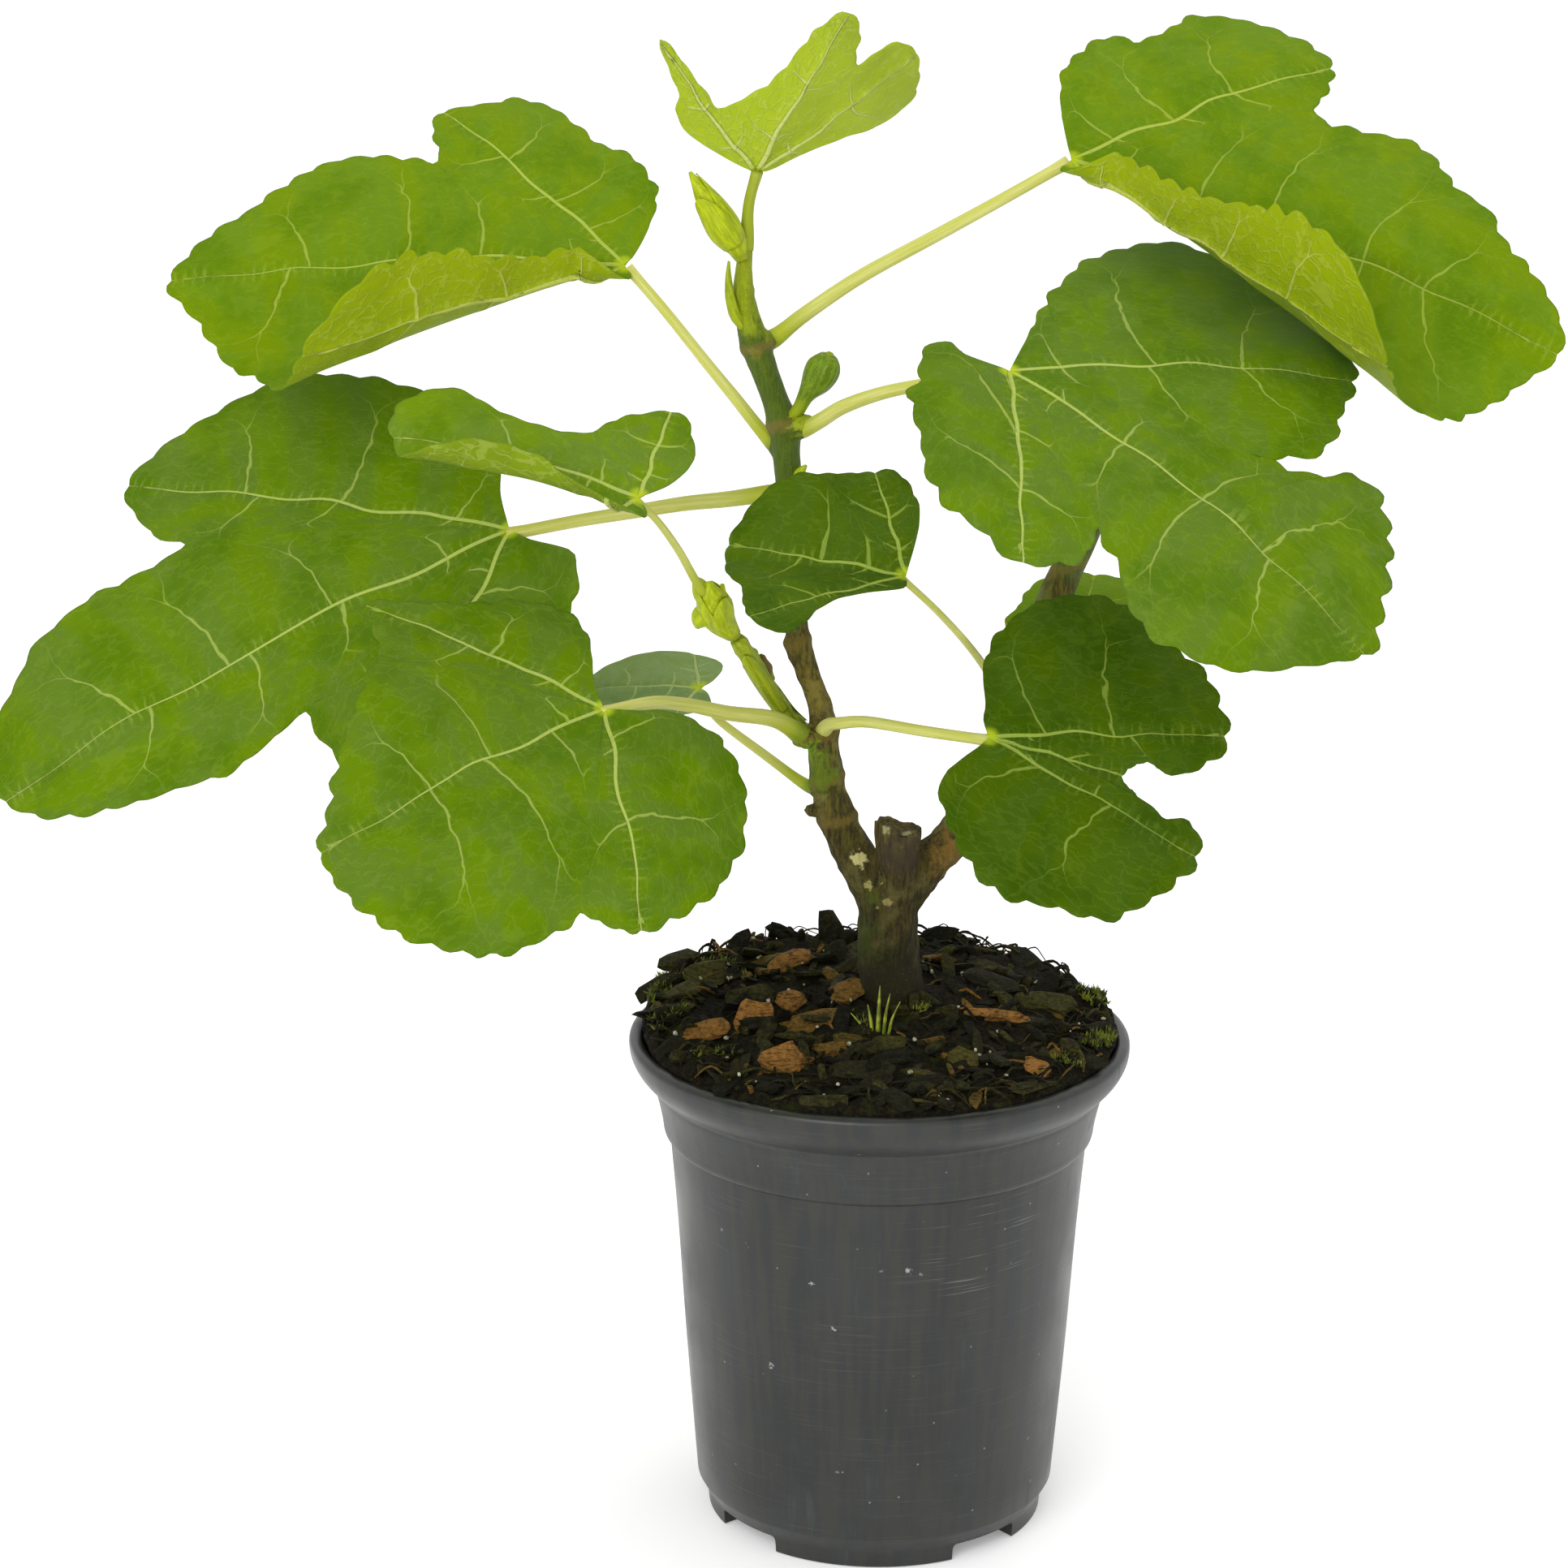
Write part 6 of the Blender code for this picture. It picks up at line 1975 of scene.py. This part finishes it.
LEAVES = (
    Leaf(
        "crown", "leaf_crown", YOUNG, joint=(-33, 5, 354), azimuth=-50, pitch=49, roll=-25,
        length=50, droop=0, left=(14, 20, 40), right=(4, 10, 40), ripple=0.4, tooth=0.7, puff=0.5,
        stalk_widths=(3, 2.6), stalk_finish=YOUNG_STALK,
        stalk=((-35, 6, 334), (-34.6, 6, 345)),
        outline=(
            (84, 4), (60, 12), (60, 23), (65, 34), (60, 43), (48, 46), (34, 49, TIP), (22, 48),
            (17, 39, SINUS), (10, 43), (6, 49), (-1, 55, TIP), (-5, 50), (-9, 41), (-16, 29),
            (-33, 23, SINUS), (-49, 22), (-51, 30), (-52, 40), (-54, 47, TIP), (-58, 37), (-62, 30),
            (-70, 27), (-78, 20), (-82, 11), (-92, 3),
        ),
    ),
    Leaf(
        "upper_left", "leaf_upper", BRIGHT_LIT, joint=(-66, 20, 328), azimuth=-176, pitch=2, roll=-38,
        length=113, droop=16, left=(-40, 195, 42), right=(4, -18, 60), cone=38,
        stalk_widths=(3.4, 2.6),
        stalk=((-26, 4, 283), (-32, 8, 289), (-38, 11, 296), (-45, 14, 304), (-56, 18, 317)),
        outline=(
            (120, 4), (90, 7), (66, 12), (52, 20), (46, 30), (45, 42), (46, 54), (46, 66), (45, 76),
            (42, 86), (35, 93, TIP), (24, 94, SINUS), (16, 97), (12, 103), (5, 108), (1, 113),
            (-2, 115, TIP), (-8, 108), (-14, 99), (-20, 93), (-26, 88), (-31, 81), (-34, 71),
            (-37, 61, SINUS), (-41, 62), (-46, 70), (-51, 74, TIP), (-60, 70), (-67, 68), (-73, 62),
            (-77, 52), (-82, 43), (-90, 40), (-99, 33), (-109, 24), (-117, 14), (-130, 4),
        ),
    ),
    Leaf(
        "upper_right", "leaf_upper", BRIGHT_LIT, joint=(46, 20, 355), azimuth=-16, pitch=-12, roll=36,
        length=131, droop=12, left=(4, -18, 60), right=(-40, 195, 42), cone=38,
        stalk_widths=(4.2, 3),
        stalk=((-32, 5, 311), (-28, 7, 312), (-20, 9, 318), (-6, 12, 327), (13, 15, 337),
               (30, 18, 346)),
        outline=(
            (122, 5), (117, 18), (111, 30), (103, 39), (95, 47), (87, 48), (82, 57), (79, 68),
            (72, 74), (64, 77), (56, 80), (50, 79, TIP), (44, 72), (39, 66, SINUS), (34, 67),
            (31, 76), (29, 85), (25, 92), (19, 95), (15, 103), (9, 109), (5, 118), (1, 126),
            (-3, 130, TIP), (-8, 125), (-14, 120), (-20, 115), (-26, 110, SINUS), (-34, 110, TIP),
            (-40, 107), (-44, 98), (-45, 84), (-45, 70), (-44, 56), (-44, 44), (-46, 32), (-52, 21),
            (-66, 12), (-90, 7), (-120, 4),
        ),
    ),
    Leaf(
        "left", "leaf_middle", MID, vein_spacing=34, tooth=1.1, tooth_spacing=10,
        joint=(-94, -4, 265), azimuth=-170, pitch=-16, roll=-38, length=138, droop=20,
        left=(-4, -16, 70), right=(6, -16, 70), stalk_widths=(4.4, 3.2),
        stalk=((-24, 3, 273), (-31, 2, 273), (-40, 1, 272), (-51, 0, 271), (-64, -1, 269),
               (-77, -2, 267)),
        outline=(
            (132, 6), (138, 17), (122, 22), (108, 27), (96, 33), (84, 45), (70, 60), (60, 68),
            (50, 74, TIP), (40, 74), (31, 71), (24, 69, SINUS), (23, 80), (22, 90), (20, 98),
            (17, 108), (14, 120), (10, 134), (5, 145, TIP), (-2, 141), (-8, 131), (-12, 122),
            (-15, 111), (-17, 98), (-22, 85, SINUS), (-26, 97), (-34, 108, TIP), (-43, 101),
            (-51, 92), (-60, 84), (-68, 70), (-76, 57), (-88, 40), (-98, 23), (-94, 11),
        ),
    ),
    Leaf(
        "folded_left", "leaf_middle", FOLDED, joint=(-60, -50, 284), azimuth=178, pitch=21,
        roll=-30, length=60, droop=22, left=(-20, 165, 21), right=(10, -10, 40), tooth=0.8,
        puff=0.4, stalk_widths=(2.2, 1.8),
        stalk=((-43, -28, 252), (-47, -31, 259), (-51, -37, 268), (-56, -44, 277)),
        outline=(
            (128, 5), (104, 9), (80, 11), (60, 14, TIP), (48, 18), (40, 24, SINUS), (33, 34),
            (24, 45), (13, 55), (0, 61, TIP), (-9, 63), (-18, 57), (-20, 49), (-19, 40), (-22, 31),
            (-28, 25), (-42, 21, SINUS), (-62, 23), (-78, 26), (-90, 29, TIP), (-100, 27),
            (-110, 22), (-120, 18), (-130, 9),
        ),
    ),
    Leaf(
        "lower_left", "leaf_middle", MID, joint=(-69, -45, 230), azimuth=-150, pitch=-8, roll=-38,
        length=80, droop=22, left=(6, -20, 60), right=(6, -16, 60), stalk_widths=(4.6, 3.2),
        stalk_finish=NODE_STALK,
        stalk=((-19, -1, 210), (-24, -6, 215), (-29, -11, 218.6), (-39, -19, 222), (-49, -26, 226),
               (-58, -35, 229)),
        outline=(
            (157, 8), (158, 17), (146, 26), (133, 34), (119, 42), (107, 48), (96, 54), (85, 58),
            (72, 62, TIP), (64, 60), (58, 58, SINUS), (51, 66), (43, 73), (32, 78), (22, 80),
            (12, 80), (5, 79, TIP), (-3, 71), (-12, 65), (-22, 60), (-37, 56, SINUS), (-45, 58),
            (-52, 65, TIP), (-58, 54), (-66, 43), (-78, 37), (-91, 32), (-101, 27), (-105, 17),
            (-98, 8),
        ),
    ),
    Leaf(
        "centre", "leaf_shaded", DEEP_SHADED, joint=(4, -42, 263), azimuth=176, pitch=6, roll=-44,
        length=45, droop=8, left=(30, -10, 40), right=(4, -20, 40), tooth=0.8, puff=0.5,
        stalk_widths=(2.2, 1.7),
        stalk=((36, 8, 215), (28, -1, 226), (23, -11, 235), (18, -20, 243), (11, -32, 253)),
        outline=(
            (96, 5), (70, 8), (50, 13), (43, 21), (47, 30), (51, 37), (47, 41), (36, 42, TIP),
            (27, 41), (18, 40, SINUS), (8, 43), (-6, 44, TIP), (-18, 43), (-30, 42), (-40, 40),
            (-48, 37, SINUS), (-58, 34), (-70, 32, TIP), (-79, 31), (-87, 25), (-95, 17), (-98, 9),
        ),
    ),
    Leaf(
        "right", "leaf_middle", MID, tooth=1.9, tooth_spacing=10, joint=(28, -45, 314), azimuth=-40,
        pitch=-17, roll=16, length=115, droop=24, left=(4, -14, 60), right=(4, -16, 60),
        stalk_widths=(4.2, 2.8),
        stalk=((-26, 4, 289), (-21, 1, 290), (-17, -4, 293), (-11, -10, 298), (-2, -18, 303),
               (8, -27, 307), (18, -36, 310)),
        outline=(
            (113, 28), (111, 55), (102, 80), (91, 85), (80, 89), (68, 94), (60, 90), (52, 86, TIP),
            (39, 79), (31, 76), (25, 68), (21, 61, SINUS), (21, 70), (24, 80), (27, 88), (21, 96),
            (12, 102), (4, 109), (-1, 113, TIP), (-9, 109), (-18, 104), (-24, 95), (-28, 84),
            (-27, 70), (-28, 58, SINUS), (-33, 65), (-40, 68), (-46, 68, TIP), (-55, 60), (-64, 53),
            (-75, 43), (-88, 33), (-106, 27), (-120, 22), (-140, 21), (-162, 21), (-178, 19),
            (-168, 12),
        ),
    ),
    Leaf(
        "lower_right", "leaf_shaded", DEEP_SHADED, joint=(25, -40, 222), azimuth=-3, pitch=-14, roll=44,
        length=50, droop=6, left=(6, -20, 60), right=(6, -16, 60), puff=0.6,
        stalk_widths=(3.4, 2.8), stalk_finish=CLASPING_STALK,
        stalk=((-16, 0, 211), (-14, -5, 215), (-11, -10, 217), (-4, -16, 219), (10, -28, 220)),
        outline=(
            (118, 5), (107, 9), (105, 19), (95, 30), (86, 39), (76, 47), (66, 53), (55, 56),
            (44, 57), (34, 60), (26, 60), (18, 60, TIP), (12, 56), (6, 48), (8, 40, SINUS),
            (0, 34, TIP), (-7, 39, SINUS), (-11, 47), (-9, 54), (-17, 58, TIP), (-27, 57),
            (-37, 56), (-47, 54), (-57, 48), (-67, 45), (-78, 41), (-88, 34), (-98, 28), (-110, 22),
            (-121, 17), (-123, 10), (-119, 4),
        ),
    ),
    Leaf(
        "back_left", "leaf_shaded", GREYISH, joint=(-47, 16, 219), azimuth=172, pitch=2, roll=-14,
        length=31, droop=14, left=(4, -10, 30), right=(8, -14, 30), tooth=0.6, puff=0.5,
        stalk_widths=(2.8, 2),
        stalk=((-16, 3, 195), (-21, 6, 197), (-30, 9, 203), (-39, 12, 209), (-43, 14, 212)),
        outline=(
            (128, 5), (110, 12), (76, 16, TIP), (58, 19), (46, 22, SINUS), (32, 26), (18, 29),
            (0, 31, TIP), (-18, 29), (-32, 26), (-46, 22, SINUS), (-58, 19), (-76, 16, TIP),
            (-110, 12), (-128, 5),
        ),
    ),
    Leaf(
        "back_right", "leaf_shaded", BRIGHT_LIT, joint=(51, 25, 228), azimuth=80, pitch=25, roll=0,
        length=36, droop=16, left=(10, -20, 30), right=(10, -20, 30), tooth=0.7, puff=0.5,
        stalk_widths=(2.4, 2),
        stalk=((41, 10, 236), (45, 15, 231), (49, 21, 226.6)),
        outline=(
            (120, 5), (108, 13), (72, 21, TIP), (56, 22), (45, 24, SINUS), (32, 29), (16, 34),
            (0, 37, TIP), (-16, 34), (-32, 29), (-45, 24, SINUS), (-56, 22), (-72, 21, TIP),
            (-108, 13), (-120, 5),
        ),
    ),
)


# These two grow from the top bud and the side shoot, so the stem has no swelling for them
OFF_STEM = ("crown", "folded_left")


# The studio

@dataclass
class Studio:
    """A pale floor, soft light from all round and above, and the camera of the photograph."""

    camera_place: Point = (4.0, -1025.9, 509.0)
    camera_pitch: float = 16.5
    camera_roll: float = 0.3
    focal_length: float = 98.44
    floor_size: float = 16000
    floor_gap: float = 0.3
    sky: float = 0.9
    floor_glow: float = 0.2
    # The soft lights as (place, target, size, power), in metres and watts
    key_light: tuple = ((-0.7, -1.7, 1.2), (0, 0, 0.2), 1.3, 22)
    top_light: tuple = ((0.5, 0.3, 1.9), (0, 0, 0.2), 1.2, 6)

    def build_floor(self) -> None:
        """Lays the floor just under the pot's feet."""
        bm = bmesh.new()
        bmesh.ops.create_grid(bm, x_segments=8, y_segments=8, size=self.floor_size / 2)
        bmesh.ops.translate(bm, vec=(0, 0, -self.floor_gap), verts=bm.verts)
        bmesh.ops.scale(bm, vec=(MM, MM, MM), verts=bm.verts)
        floor = as_object(bm, "floor")
        graph = Graph("floor_white")
        cloud = graph.noise(graph.node("TexCoord").outputs["Object"], 3.0, 2)
        colour = graph.blend(graph.rise(cloud, 0.3, 0.7), (0.93, 0.93, 0.93), (0.95, 0.95, 0.95))
        floor.data.materials.append(graph.done(graph.surface(
            colour, 0.9, Specular_IOR_Level=0.1, Emission_Strength=self.floor_glow)))

    def add_light(self, name: str, place: Point, target: Point, size: float, power: float) -> None:
        """Adds a square soft light.

        Args:
            name: The light's name.
            place: Where it hangs, in metres.
            target: What it points at, in metres.
            size: The length of its side in metres.
            power: Its power in watts.
        """
        light = bpy.data.lights.new(name, "AREA")
        light.shape = "SQUARE"
        light.size = size
        light.energy = power
        lamp = linked(name, light)
        lamp.location = place
        lamp.rotation_euler = (Vector(target) - Vector(place)).to_track_quat("-Z", "Y").to_euler()

    def build_light(self) -> None:
        """Lights the scene from a white surround and two soft lights above."""
        world = bpy.data.worlds.new("white_surround")
        world.use_nodes = True
        background = world.node_tree.nodes["Background"]
        background.inputs["Color"].default_value = (1, 1, 1, 1)
        background.inputs["Strength"].default_value = self.sky
        bpy.context.scene.world = world
        self.add_light("key_light", *self.key_light)
        self.add_light("top_light", *self.top_light)

    def build_camera(self) -> None:
        """Sets the camera where the photograph was taken."""
        pitch, roll = math.radians(self.camera_pitch), math.radians(self.camera_roll)
        forward = Vector((0, math.cos(pitch), -math.sin(pitch)))
        level_up = Vector((0, math.sin(pitch), math.cos(pitch)))
        side = Vector((1, 0, 0))
        right = side * math.cos(roll) + level_up * math.sin(roll)
        up = level_up * math.cos(roll) - side * math.sin(roll)
        lens = bpy.data.cameras.new("photo_camera")
        lens.sensor_width = 36
        lens.lens = self.focal_length
        camera = linked("photo_camera", lens)
        camera.matrix_world = (Matrix.Translation(Vector(self.camera_place) * MM)
                               @ Matrix((right, up, -forward)).transposed().to_4x4())
        bpy.context.scene.camera = camera

    def build(self) -> None:
        """Makes the floor, the lights and the camera."""
        self.build_floor()
        self.build_light()
        self.build_camera()
        bpy.context.scene.view_settings.view_transform = "Standard"


def main() -> None:
    """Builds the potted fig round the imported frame."""
    logging.basicConfig(level=logging.INFO, format="%(name)s: %(message)s")
    for item in list(bpy.data.objects):
        bpy.data.objects.remove(item)
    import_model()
    Studio().build()
    NurseryPot().build()
    PottingMix().build()
    on_stem = (leaf for leaf in LEAVES if leaf.name not in OFF_STEM)
    WoodyStem(cushions=tuple(leaf.cushion() for leaf in on_stem)).build()
    for bud in BUDS:
        bud.build()
    YoungFig().build()
    for leaf in LEAVES:
        leaf.build_blade()
        leaf.build_stalk()
    bpy.context.view_layer.update()


if __name__ == "__main__":
    main()
